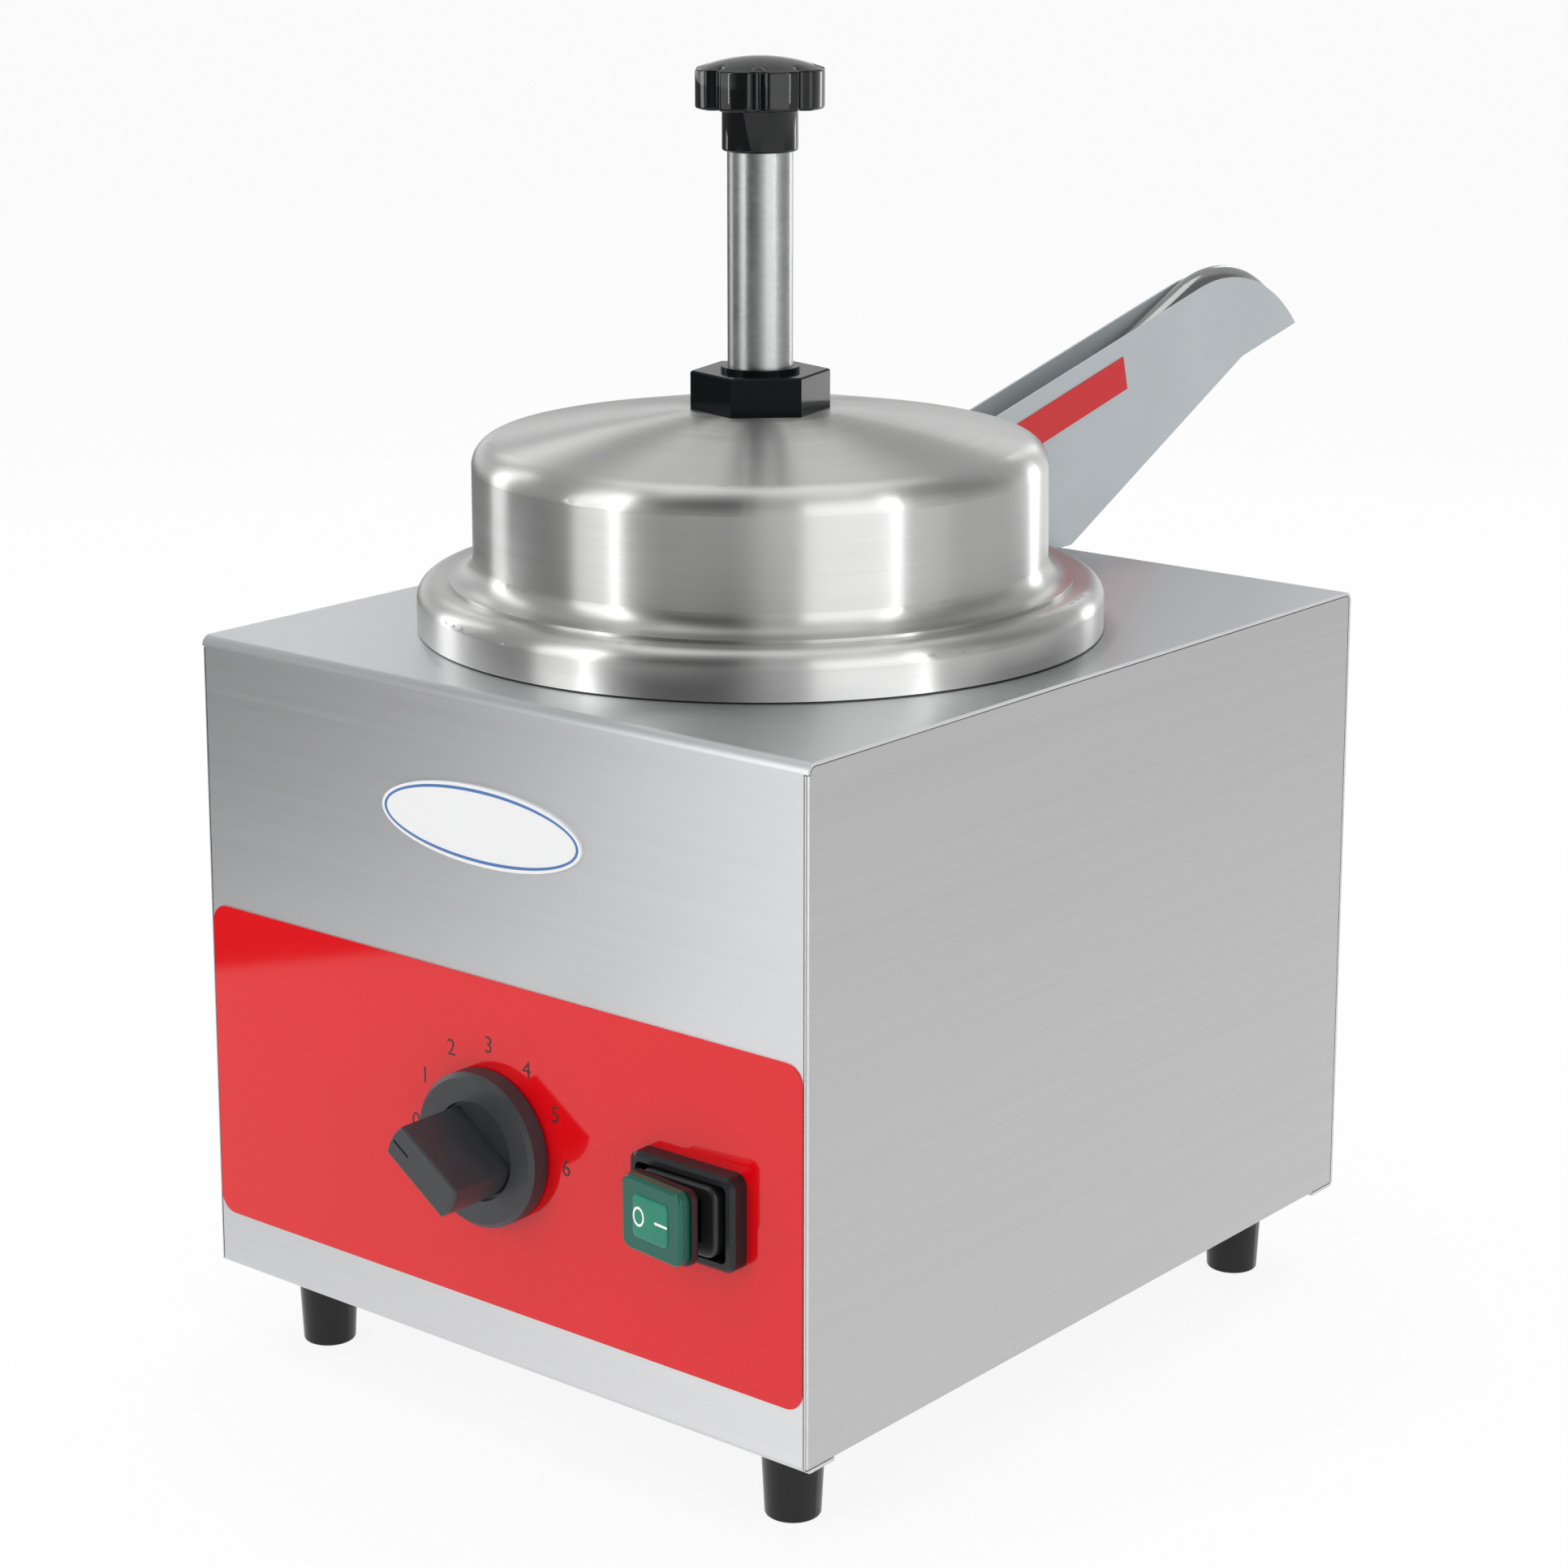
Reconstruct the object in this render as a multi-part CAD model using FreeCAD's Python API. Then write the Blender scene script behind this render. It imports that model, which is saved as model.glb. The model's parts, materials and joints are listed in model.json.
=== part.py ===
import FreeCAD, Part
import math
import os

# Hot topping warmer: a sheet steel housing with a heated water well, a food jar hung in
# the well, and a pump lid whose discharge tube lies in a heated shroud behind the well.
# Millimetres and degrees. While it is built, the housing's plan centre is the origin in
# x and y, its bottom edge is z = 0, the front faces -Y, and the spout points to +Y.

V = FreeCAD.Vector
RIGHT = V(1, 0, 0)
BACK = V(0, 1, 0)
FRONT = V(0, -1, 0)
UP = V(0, 0, 1)
DOWN = V(0, 0, -1)
FULL_TURN = 360
QUARTER_TURN = 90
HEX_CORNERS = 6

# General clearances and cuts
overrun = 2.0
fit_gap = 0.05
seam_gap = 0.3
rest_gap = 0.1
join_tolerance = 0.0001

# Housing sheet
housing_width = 230.0
housing_depth = 269.0
housing_height = 196.0
sheet = 1.0
bend_radius = 3.0
bottom_bend_radius = 1.8
return_flange = 12.0
side_flange = 12.0
side_edge_radius = 0.9
plate_upturn = 10.0
plate_upturn_margin = 16.0
vent_slot_length = 34.0
vent_slot_width = 4.0
vent_slot_pitch = 11.0
vent_slot_count = 5
vent_slot_from_side = 37.0

# Feet and their bolts
foot_height = 26.0
foot_bottom_radius = 7.9
foot_top_radius = 9.3
foot_edge_radius = 0.7
foot_inset_side = 23.0
foot_inset_front = 22.5
foot_recess_radius = 4.8
foot_recess_depth = 9.0
foot_bolt_radius = 2.5
foot_bolt_head_radius = 4.3
foot_bolt_head_height = 3.0
foot_bolt_reach = 6.5
foot_nut_flats = 8.0
foot_nut_height = 4.0

# Bottom plate screws
plate_screw_radius = 1.7
plate_screw_head_radius = 3.2
plate_screw_head_height = 1.2
plate_screw_reach = 3.0
plate_screw_from_side = 47.0
plate_screw_from_end = 7.5

# Front overlay, badge, and the places of the two controls on the front
overlay_width = 227.0
overlay_height = 97.0
overlay_bottom = 17.2
overlay_corner = 5.5
overlay_thickness = 0.3
badge_width = 76.5
badge_height = 23.0
badge_thickness = 0.8
badge_left_of_middle = 1.6
badge_below_top = 37.7
knob_height = 65.4
switch_from_side = 39.0
switch_height = 66.3

# Water well and its collar
collar_side_margin = 12.4
collar_front_margin = 16.9
collar_back_margin = 46.9
collar_rise = 14.6
collar_shoulder = 5.2
collar_top_width = 16.6
collar_mouth_edge = 1.6
collar_ledge_drop = 4.4
collar_ledge_width = 4.5
gasket_thickness = 0.5
gasket_width = 4.5
vessel_mouth_step = 6.0
vessel_wall = 1.0
vessel_floor_height = 35.0
vessel_floor_bend = 9.0
vessel_flange_width = 6.0
top_hole_clearance = 3.0

# Insulation round the well
jacket_thickness = 15.0
jacket_bottom = 97.0
jacket_top_gap = 5.0

# Heating element, its clamp plate, studs, nuts, and the cut-out
element_radius = 4.0
element_reach = 48.0
element_bend = 17.0
element_leg_spacing = 26.0
element_front_gap = 20.0
element_pin_radius = 1.5
element_pin_length = 9.0
clamp_plate_margin = 14.0
clamp_plate_thickness = 1.5
stud_circle_radius = 27.0
stud_count = 3
stud_radius = 2.5
stud_length = 17.0
clamp_nut_flats = 8.0
clamp_nut_height = 4.0
cutout_radius = 12.0
cutout_height = 8.0

# Thermostat, its shaft, screws, bulb and capillary
thermostat_width = 44.0
thermostat_depth = 20.0
thermostat_tall = 34.0
thermostat_neck_radius = 4.6
shaft_radius = 3.0
shaft_flat_depth = 0.8
shaft_in_body = 9.0
shaft_in_knob = 14.0
shaft_hole_clearance = 0.4
thermostat_screw_spacing = 28.0
thermostat_screw_radius = 1.9
thermostat_screw_head_radius = 3.6
thermostat_screw_reach = 7.0
bulb_radius = 3.0
bulb_length = 46.0
bulb_bottom = 44.0
bulb_direction = 205.0
pocket_wall = 0.8
pocket_length = 30.0
capillary_radius = 0.9
capillary_rise = 8.0
capillary_left = 15.0
capillary_drop = 9.0

# Thermostat knob
knob_radius = 22.6
knob_panel_gap = 0.8
knob_disc_front = 7.2
knob_rim_chamfer = 1.3
knob_recess_radius = 14.5
knob_recess_depth = 2.0
grip_front = 28.0
grip_width = 10.8
grip_end_radius = 13.6
grip_edge = 1.0
indicator_turn = 146.0
indicator_length = 6.6
indicator_width = 0.7
indicator_depth = 0.5
indicator_end_margin = 1.2

# Power switch
switch_frame_width = 37.2
switch_frame_height = 27.0
switch_frame_depth = 6.0
switch_frame_rim = 2.6
switch_frame_floor = 1.5
switch_frame_corner = 3.4
switch_frame_chamfer = 1.1
switch_body_width = 27.4
switch_body_height = 19.6
switch_body_depth = 22.0
boot_fold_width = 27.4
boot_fold_height = 20.4
boot_fold_front = 7.2
boot_fold_corner = 4.0
boot_fold_edge = 1.2
boot_mouth_width = 17.0
boot_mouth_height = 12.0
boot_lip_width = 26.0
boot_lip_height = 21.4
boot_lip_back = 9.6
boot_lip_edge = 1.1
cap_width = 24.0
cap_height = 21.0
cap_back = 12.4
cap_front = 15.6
cap_corner = 3.2
cap_edge = 0.9
rocker_stem_width = 8.0
rocker_stem_height = 8.0
rocker_stem_back = -4.0
rocker_pocket_gap = 1.6
rocker_pivot_front = -1.0
rocker_pin_radius = 1.0
rocker_tilt = 7.5
switch_tab_spacing = 11.0

# Terminal block, cord gland and earth stud
block_length = 48.0
block_width = 18.0
block_height = 15.0
block_from_side = 53.0
block_from_back = 34.0
block_hole_radius = 2.0
block_pole_count = 3
block_screw_radius = 1.5
block_screw_head_radius = 2.8
block_screw_head_height = 1.6
block_screw_reach = 2.0
block_screw_spacing = 16.0
gland_from_side = 45.0
gland_height = 34.0
gland_thread_radius = 7.8
gland_bore_radius = 4.2
gland_hex_flats = 22.0
gland_hex_length = 6.0
gland_dome_radius = 9.5
gland_dome_length = 12.0
gland_dome_edge = 3.2
gland_thread_length = 11.0
gland_nut_length = 5.0
earth_from_gland = 32.0
earth_radius = 3.0
earth_head_flats = 10.0
earth_head_length = 4.0
earth_length = 18.0
earth_nut_length = 5.0

# Food jar
jar_side_gap = 4.4
jar_wall = 0.9
jar_floor_gap = 5.0
jar_floor_bend = 11.0
jar_rim_bend = 3.0
jar_rim_side_gap = 0.8

# Lid
lid_sheet = 1.0
lid_mouth_inset = 0.2
lid_flange_width = 7.5
lid_flare = 6.0
lid_shoulder_height = 40.7
lid_shoulder = 8.0
lid_crown_rise = 9.5
lid_break_radius = 48.0
lid_break_rise = 6.7
lid_break_bend = 150.0
lid_pad_radius = 25.0
lid_pad_bend = 12.0

# Pump
plunger_radius = 9.7
plunger_wall = 1.2
plunger_bottom_gap = 0.3
cylinder_bore_radius = 14.5
cylinder_wall = 1.5
cylinder_bottom = 62.0
head_flange_radius = 24.0
head_flange_thickness = 5.0
head_neck_height = 8.5
head_spigot_length = 4.0
lid_seal_thickness = 1.0
bush_wall = 2.0
bush_stand_out = 1.3
nut_flats = 36.0
nut_height = 11.6
nut_web = 2.8
nut_edge = 0.5
nut_turn = -45.0
piston_height = 14.0
piston_side_gap = 0.5
piston_spigot_length = 8.0
seal_radius = 1.0
seal_side_gap = 0.05
seal_inset = 3.6
plug_length = 14.0
stud_thread_radius = 4.0
stud_thread_length = 12.0
spring_wire_radius = 0.9
spring_mean_radius = 12.75
spring_turns = 15
spring_end_gap = 0.2

# Star knob on the plunger
star_radius = 19.15
plunger_show = 63.3
star_side_height = 11.8
star_dome_height = 3.4
star_edge = 0.9
star_lobes = 8
star_flute_radius = 2.7
star_flute_centre = 19.6
star_flute_turn = -7.0
hub_radius = 11.2
hub_length = 12.5
hub_chamfer = 1.2
hub_socket_depth = 9.0

# Valve body at the foot of the pump, its ball and the tube's coupling nut
valve_radius = 20.0
valve_floor_gap = 5.0
valve_socket_depth = 10.0
valve_chamber_radius = 11.0
valve_chamber_depth = 8.0
valve_inlet_radius = 6.0
valve_ball_radius = 8.0
valve_arm_width = 17.0
valve_arm_height = 16.0
valve_boss_height = 20.0
valve_passage_radius = 3.5
coupling_flats = 17.0
coupling_height = 9.0

# Discharge tube and the grommet where it leaves the lid
tube_radius = 5.0
tube_wall = 0.9
riser_offset = 30.0
riser_bend = 28.0
tube_slope = 10.8
tube_knee_back = 5.5
tube_knee_bend = 80.0
spout_slope = 23.0
spout_bend = 46.7
spout_end_turn = 46.0
spout_centre_back = 2.7
spout_centre_up = 13.8
tube_socket_depth = 5.0
grommet_wall = 2.4
grommet_length = 9.0

# Shroud round the discharge tube, its fasteners, heater and label
shroud_width = 13.0
shroud_sheet = 0.8
shroud_collar_gap = 3.5
shroud_back_reach = 3.5
shroud_top_slope = 13.9
shroud_web_slope = 26.5
shroud_web_length = 114.5
shroud_web_bend = 3.0
shroud_tip_bend = 9.0
shroud_front_corner = 4.0
hook_radius = 62.0
hook_centre_back = 94.5
hook_centre_up = 17.6
hook_tip_turn = 48.0
shroud_screw_radius = 2.0
shroud_screw_head_radius = 3.6
shroud_screw_head_height = 1.8
shroud_screw_reach = 6.0
shroud_screw_inset = 12.5
shroud_nut_flats = 7.0
shroud_nut_height = 3.2
strip_width = 9.0
strip_thickness = 2.5
strip_length = 84.0
strip_start = 18.0
strip_lead_run = 12.0
lead_hole_radius = 3.6
lead_hole_inset = 23.5
label_length = 64.0
label_height = 11.4
label_thickness = 0.3
label_under_top = 6.2
label_back_end = 50.9

# Leads between the electrical pieces
lead_radius = 1.0
lead_bend = 9.0
lead_bend_share = 0.45
lead_turn_y = 8.5
lead_floor = 8.0
lead_leave = 20.0
lead_step = 4.5
spout_lead_radius = 1.2
tab_length = 6.0
tab_width = 4.8
tab_thickness = 0.8
thermostat_tab_right = 18.0
thermostat_tab_height = 5.0
cutout_tab_side = 5.0

# Places that several pieces share
front_y = -housing_depth / 2
back_y = housing_depth / 2
inner_front_y = front_y + sheet
inner_back_y = back_y - sheet
collar_radius = min(housing_width / 2 - collar_side_margin,
                    (housing_depth - collar_front_margin - collar_back_margin) / 2)
well_y = front_y + collar_front_margin + collar_radius
collar_mouth_radius = collar_radius - collar_top_width
vessel_radius = collar_mouth_radius - vessel_mouth_step
jar_radius = vessel_radius - jar_side_gap
lid_radius = collar_mouth_radius - lid_mouth_inset
lid_flange_radius = lid_radius + lid_flange_width
panel_inset = sheet + seam_gap
plate_top = sheet + sheet
collar_top = housing_height + collar_rise
ledge_top = collar_top - collar_ledge_drop
ledge_inner_radius = collar_mouth_radius - collar_ledge_width
vessel_top = ledge_top - sheet
vessel_outer_radius = vessel_radius + vessel_wall
vessel_underside = vessel_floor_height - vessel_wall
element_z = vessel_underside - element_radius - rest_gap
clamp_plate_top = element_z - element_radius - rest_gap
clamp_plate_bottom = clamp_plate_top - clamp_plate_thickness
jar_floor = vessel_floor_height + jar_floor_gap + jar_wall
lid_top = collar_top + lid_shoulder_height + lid_crown_rise
head_flange_top = lid_top - lid_sheet - lid_seal_thickness
head_flange_bottom = head_flange_top - head_flange_thickness
head_bottom = head_flange_bottom - head_spigot_length
bush_radius = plunger_radius + fit_gap + bush_wall
head_bore_radius = bush_radius + fit_gap
head_neck_radius = cylinder_bore_radius - fit_gap
nut_top = lid_top + nut_height
piston_top = head_bottom - plunger_bottom_gap
piston_bottom = piston_top - piston_height
cylinder_radius = cylinder_bore_radius + cylinder_wall
valve_bottom = jar_floor + valve_floor_gap
hub_bottom = nut_top + bush_stand_out + plunger_show
star_bottom = hub_bottom + hub_length
tube_top = hub_bottom + hub_socket_depth - rest_gap
shroud_front_y = well_y + collar_radius + shroud_collar_gap
shroud_heel_y = back_y + shroud_back_reach
hook_centre = (back_y + hook_centre_back, housing_height + hook_centre_up)
spout_centre = (hook_centre[0] + spout_centre_back, hook_centre[1] + spout_centre_up)
tube_knee_y = back_y + tube_knee_back
riser_y = well_y + riser_offset
switch_right_of_middle = housing_width / 2 - switch_from_side
switch_middle = (switch_right_of_middle, switch_height)
vent_slot_side = housing_width / 2 - vent_slot_from_side
plate_screw_side = housing_width / 2 - plate_screw_from_side
block_right_of_middle = housing_width / 2 - block_from_side
gland_left_of_middle = housing_width / 2 - gland_from_side
earth_left_of_middle = gland_left_of_middle - earth_from_gland


def along(angle):
    """Unit step in a plane at an angle in degrees from its first axis."""
    return math.cos(math.radians(angle)), math.sin(math.radians(angle))


def in_section(x):
    """Place a (y, z) point of a side view at the given x."""
    return lambda p: V(x, p[0], p[1])


def on_front(y):
    """Place an (x, z) point of a front view at the given y."""
    return lambda p: V(p[0], y, p[1])


def beside_well(p):
    """Place a (radius, height) point of a round piece on the well's axis."""
    return V(p[0], well_y, p[1])


def bend_at(before, corner, after, radius):
    """Start, middle and end of the arc that rounds a corner."""
    to_before = (before - corner).normalize()
    to_after = (after - corner).normalize()
    half = to_before.getAngle(to_after) / 2
    middle_way = (to_before + to_after).normalize()
    centre = corner + middle_way * (radius / math.sin(half))
    cut = radius / math.tan(half)
    return corner + to_before * cut, centre - middle_way * radius, corner + to_after * cut


def chain(points, radii, closed=False):
    """Edges through points, each inner corner rounded to its own radius."""
    count = len(points)
    arcs = {}
    for index in range(count) if closed else range(1, count - 1):
        radius = radii[index] if closed else radii[index - 1]
        if radius > 0:
            arcs[index] = bend_at(points[index - 1], points[index], points[(index + 1) % count], radius)
    edges = []
    for index in range(count if closed else count - 1):
        after = (index + 1) % count
        start = arcs[index][2] if index in arcs else points[index]
        end = arcs[after][0] if after in arcs else points[after]
        if not start.isEqual(end, join_tolerance):
            edges.append(Part.LineSegment(start, end).toShape())
        if after in arcs:
            edges.append(Part.Arc(*arcs[after]).toShape())
    return edges


def closed_face(points, radii, place):
    """Flat face inside a closed outline with rounded corners."""
    return Part.Face(Part.Wire(chain([place(p) for p in points], radii, True)))


def beside(points, distance):
    """A path shifted sideways, to its left where the distance is positive."""
    normals = []
    for start, end in zip(points, points[1:]):
        length = math.dist(start, end)
        normals.append(((start[1] - end[1]) / length, (end[0] - start[0]) / length))
    shifted = []
    for point, a, b in zip(points, normals[:1] + normals, normals + normals[-1:]):
        reach = distance / (1 + a[0] * b[0] + a[1] * b[1])
        shifted.append((point[0] + (a[0] + b[0]) * reach, point[1] + (a[1] + b[1]) * reach))
    return shifted


def side_radii(points, radii, distance):
    """Corner radii of the shifted path, so that a sheet keeps its thickness in a bend."""
    result = []
    for index, radius in enumerate(radii):
        before, corner, after = points[index:index + 3]
        run = (corner[0] - before[0], corner[1] - before[1])
        turn = run[0] * (after[1] - corner[1]) - run[1] * (after[0] - corner[0])
        moved = radius - distance if turn > 0 else radius + distance
        result.append(max(moved, 0) if radius > 0 else 0)
    return result


def sheet_face(points, radii, thickness, place):
    """Cut face of a bent sheet: the path on one side, its parallel on the other."""
    other = beside(points, thickness)
    edges = chain([place(p) for p in points], radii)
    edges += chain([place(p) for p in other], side_radii(points, radii, thickness))
    edges.append(Part.LineSegment(place(points[0]), place(other[0])).toShape())
    edges.append(Part.LineSegment(place(points[-1]), place(other[-1])).toShape())
    return Part.Face(Part.Wire(Part.__sortEdges__(edges)))


def lathe(face):
    """Solid turned about the well's axis."""
    return face.revolve(V(0, well_y, 0), UP, FULL_TURN)


def rod(radius, start, end):
    """Cylinder from one point to another."""
    return Part.makeCylinder(radius, (end - start).Length, start, end - start)


def hole(radius, start, end):
    """Cylinder that runs past both points, for cutting."""
    step = (end - start).normalize() * overrun
    return rod(radius, start - step, end + step)


def sleeve(outer, inner, start, end):
    """Round tube between two points."""
    return rod(outer, start, end).cut(hole(inner, start, end))


def block(low, high):
    """Box between two corners."""
    size = high - low
    return Part.makeBox(size.x, size.y, size.z, low)


def hexagon(flats, start, end, turn=0):
    """Six-sided bar between two points, one flat facing the given angle."""
    axis = (end - start).normalize()
    side = RIGHT
    other = axis.cross(side)
    corner_radius = flats / math.sqrt(3)
    corners = []
    for index in range(HEX_CORNERS + 1):
        step = along(turn + (index + 0.5) * FULL_TURN / HEX_CORNERS)
        corners.append(start + side * (corner_radius * step[0]) + other * (corner_radius * step[1]))
    return Part.Face(Part.makePolygon(corners)).extrude(end - start)


def rectangle(middle, width, height):
    """Corners of a rectangle round a middle point."""
    left = middle[0] - width / 2
    low = middle[1] - height / 2
    return [(left, low), (left + width, low), (left + width, low + height), (left, low + height)]


def front_slab(middle, width, height, corner, back, front):
    """Slab with rounded corners that faces the front, between two distances off the panel."""
    face = closed_face(rectangle(middle, width, height), [corner] * 4, on_front(front_y - back))
    return face.extrude(FRONT * (front - back))


def pipe(points, radii, radius):
    """Round bar along a path of straight runs and tangent arcs."""
    path = Part.Wire(chain(points, radii))
    end = Part.Wire(Part.makeCircle(radius, points[0], points[1] - points[0]))
    return path.makePipeShell([end], True, False)


def lead(points, radius=lead_radius):
    """Wire whose bends are as wide as its runs leave room for, up to the lead's own bend."""
    bends = []
    for before, corner, after in zip(points, points[1:], points[2:]):
        turn = (corner - before).getAngle(after - corner)
        shorter = min((corner - before).Length, (after - corner).Length)
        bends.append(min(lead_bend, lead_bend_share * shorter / math.tan(turn / 2)))
    return pipe(points, bends, radius)


def front_hole(x, z, radius):
    """Cut through the front sheet and what lies on it."""
    return hole(radius, V(x, front_y - overlay_thickness, z), V(x, inner_front_y, z))


def one(shapes):
    """One solid from shapes that touch."""
    return shapes[0].multiFuse(shapes[1:]).removeSplitter()


def group(shapes):
    """Separate solids kept in one piece file."""
    return Part.makeCompound(shapes)


def both_sides(shape):
    """A shape and its mirror image in the middle plane."""
    return shape, shape.mirror(V(0, 0, 0), RIGHT)


# Fasteners

def vertical_screw(x, y, head_z, shank_radius, head_radius, head_height, reach, way=UP):
    """Round-headed screw whose head lies under or over head_z and whose shank runs on by reach."""
    seat = V(x, y, head_z)
    head = rod(head_radius, seat - way * head_height, seat)
    return one([head, rod(shank_radius, seat, seat + way * reach)])


def foot_places():
    """Plan positions of the four feet."""
    side = housing_width / 2 - foot_inset_side
    end = housing_depth / 2 - foot_inset_front
    return [(x, y) for x in (-side, side) for y in (-end, end)]


def plate_screw_places():
    """Plan positions of the screws that hold the bottom plate to the return flanges."""
    end = housing_depth / 2 - plate_screw_from_end
    return [(x, y) for x in (-plate_screw_side, 0, plate_screw_side) for y in (-end, end)]


def block_screw_places():
    """Plan positions of the terminal block's screws."""
    y = back_y - block_from_back
    step = block_screw_spacing / 2
    return [(block_right_of_middle + x, y) for x in (-step, step)]


def shroud_screw_places():
    """Distances along Y of the shroud's two screws."""
    return shroud_front_y + shroud_screw_inset, shroud_heel_y - shroud_screw_inset


# Housing

def housing_wrap():
    """Front, top and back bent from one sheet, with a return flange under front and back."""
    path = [(front_y + return_flange, 0), (front_y, 0), (front_y, housing_height),
            (back_y, housing_height), (back_y, 0), (back_y - return_flange, 0)]
    radii = [bottom_bend_radius, bend_radius, bend_radius, bottom_bend_radius]
    shell = sheet_face(path, radii, -sheet, in_section(-housing_width / 2)).extrude(RIGHT * housing_width)
    seam_low = V(housing_width / 2 - panel_inset, front_y - overrun, sheet)
    seam_high = V(housing_width / 2 + overrun, front_y + bottom_bend_radius, housing_height - bend_radius)
    cuts = [*both_sides(block(seam_low, seam_high))]
    top = V(0, well_y, housing_height)
    cuts.append(hole(vessel_outer_radius + vessel_flange_width + top_hole_clearance, top, top - UP * sheet))
    cuts.append(front_hole(0, knob_height, thermostat_neck_radius + shaft_hole_clearance))
    for place in thermostat_screw_places():
        cuts.append(countersink(place, fit_gap))
    cuts.append(switch_opening(seam_gap))
    gland = V(-gland_left_of_middle, back_y, gland_height)
    cuts.append(hole(gland_thread_radius + fit_gap, gland - BACK * sheet, gland))
    earth = V(-earth_left_of_middle, back_y, gland_height)
    cuts.append(hole(earth_radius + fit_gap, earth - BACK * sheet, earth))
    for x, y in plate_screw_places():
        cuts.append(hole(plate_screw_radius + fit_gap, V(x, y, 0), V(x, y, sheet)))
    for y in shroud_screw_places():
        spot = V(0, y, housing_height)
        cuts.append(hole(shroud_screw_radius + fit_gap, spot - UP * sheet, spot))
    cuts.append(lead_hole())
    return shell.cut(cuts)


def thermostat_screw_places():
    """Places of the thermostat's screws on the inner face of the front sheet."""
    step = thermostat_screw_spacing / 2
    return [V(x, inner_front_y, knob_height) for x in (-step, step)]


def countersink(place, gap):
    """Flat head of a thermostat screw in the front sheet, or its seat."""
    start = place + FRONT * sheet
    wide = thermostat_screw_head_radius + gap
    return Part.makeCone(wide, thermostat_screw_radius + gap, sheet, start, BACK)


def switch_opening(gap):
    """Cut-out for the switch body in the front sheet and the overlay."""
    return front_slab(switch_middle, switch_body_width + 2 * gap, switch_body_height + 2 * gap, gap,
                      -sheet - overrun, overrun)


def lead_hole():
    """Way for the spout heater's lead through the shroud's floor and the housing top."""
    y = shroud_front_y + lead_hole_inset
    return hole(lead_hole_radius, V(0, y, housing_height - sheet), V(0, y, housing_height + shroud_sheet))


def side_outline(inset, low):
    """Front, top and back of the housing in side view, drawn in by an inset, from a low height up."""
    front = front_y + inset
    back = back_y - inset
    top = housing_height - inset
    return [(front, low), (front, top), (back, top), (back, low)]


def side_panel():
    """Right side: a plate under the wrap's bends, rounded where it meets the front sheet's edge, with
    flanges along front, top and back."""
    plate_radius = bend_radius - panel_inset
    shoulder = housing_height - bend_radius - seam_gap
    inner_corners = side_outline(panel_inset, panel_inset)[1:]
    corners = [(front_y, panel_inset), (front_y, shoulder), (front_y + panel_inset, shoulder), *inner_corners]
    radii = [0, 0, 0, plate_radius, plate_radius, 0]
    plate = closed_face(corners, radii, in_section(housing_width / 2 - sheet)).extrude(RIGHT * sheet)
    outer = [edge for edge in plate.Edges if edge.BoundBox.YMax < front_y + join_tolerance
             and edge.BoundBox.XMin > housing_width / 2 - join_tolerance]
    plate = plate.makeFillet(side_edge_radius, outer)
    path = side_outline(sheet, plate_top + seam_gap)
    face = sheet_face(path, [bend_radius - sheet] * 2, -sheet, in_section(housing_width / 2 - side_flange))
    return one([plate, face.extrude(RIGHT * (side_flange - sheet))])


def bottom_plate():
    """Floor of the housing on the return flanges, with turned-up sides and air slots."""
    half = housing_width / 2 - panel_inset - sheet
    end = housing_depth / 2 - bottom_bend_radius - seam_gap
    plate = block(V(-half, -end, sheet), V(half, end, plate_top))
    upturn_end = housing_depth / 2 - plate_upturn_margin
    upturn = block(V(half - sheet, -upturn_end, sheet), V(half, upturn_end, plate_top + plate_upturn))
    floor = one([plate, *both_sides(upturn)])
    cuts = []
    for x, y in foot_places():
        cuts.append(hole(foot_bolt_radius + fit_gap, V(x, y, sheet), V(x, y, plate_top)))
    for x, y in plate_screw_places():
        cuts.append(hole(plate_screw_radius + fit_gap, V(x, y, sheet), V(x, y, plate_top)))
    for x, y in block_screw_places():
        cuts.append(hole(block_screw_radius + fit_gap, V(x, y, sheet), V(x, y, plate_top)))
    for index in range(vent_slot_count):
        y = (index - (vent_slot_count - 1) / 2) * vent_slot_pitch
        low = V(vent_slot_side - vent_slot_length / 2, y - vent_slot_width / 2, sheet - overrun)
        size = V(vent_slot_length, vent_slot_width, sheet + 2 * overrun)
        cuts.extend(both_sides(block(low, low + size)))
    return floor.cut(cuts)


def feet():
    """Four tapered rubber feet, hollow below for the bolt heads."""
    shapes = []
    for x, y in foot_places():
        floor = V(x, y, -foot_height)
        cone = Part.makeCone(foot_bottom_radius, foot_top_radius, foot_height + sheet, floor, UP)
        rim = [edge for edge in cone.Edges if edge.BoundBox.ZMax < -foot_height + fit_gap]
        cone = cone.makeFillet(foot_edge_radius, rim)
        recess = rod(foot_recess_radius, floor - UP * overrun, floor + UP * foot_recess_depth)
        bore = hole(foot_bolt_radius + fit_gap, floor, V(x, y, sheet))
        shapes.append(cone.cut([recess, bore]))
    return group(shapes)


def foot_fasteners():
    """A bolt through each foot and the bottom plate, and its nut inside."""
    shapes = []
    for x, y in foot_places():
        seat = -foot_height + foot_recess_depth
        reach = plate_top - seat + foot_bolt_reach
        bolt = vertical_screw(x, y, seat, foot_bolt_radius, foot_bolt_head_radius,
                              foot_bolt_head_height, reach)
        nut = hexagon(foot_nut_flats, V(x, y, plate_top), V(x, y, plate_top + foot_nut_height))
        bore = hole(foot_bolt_radius + fit_gap, V(x, y, plate_top), V(x, y, plate_top + foot_nut_height))
        shapes += [bolt, nut.cut(bore)]
    return group(shapes)


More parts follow.
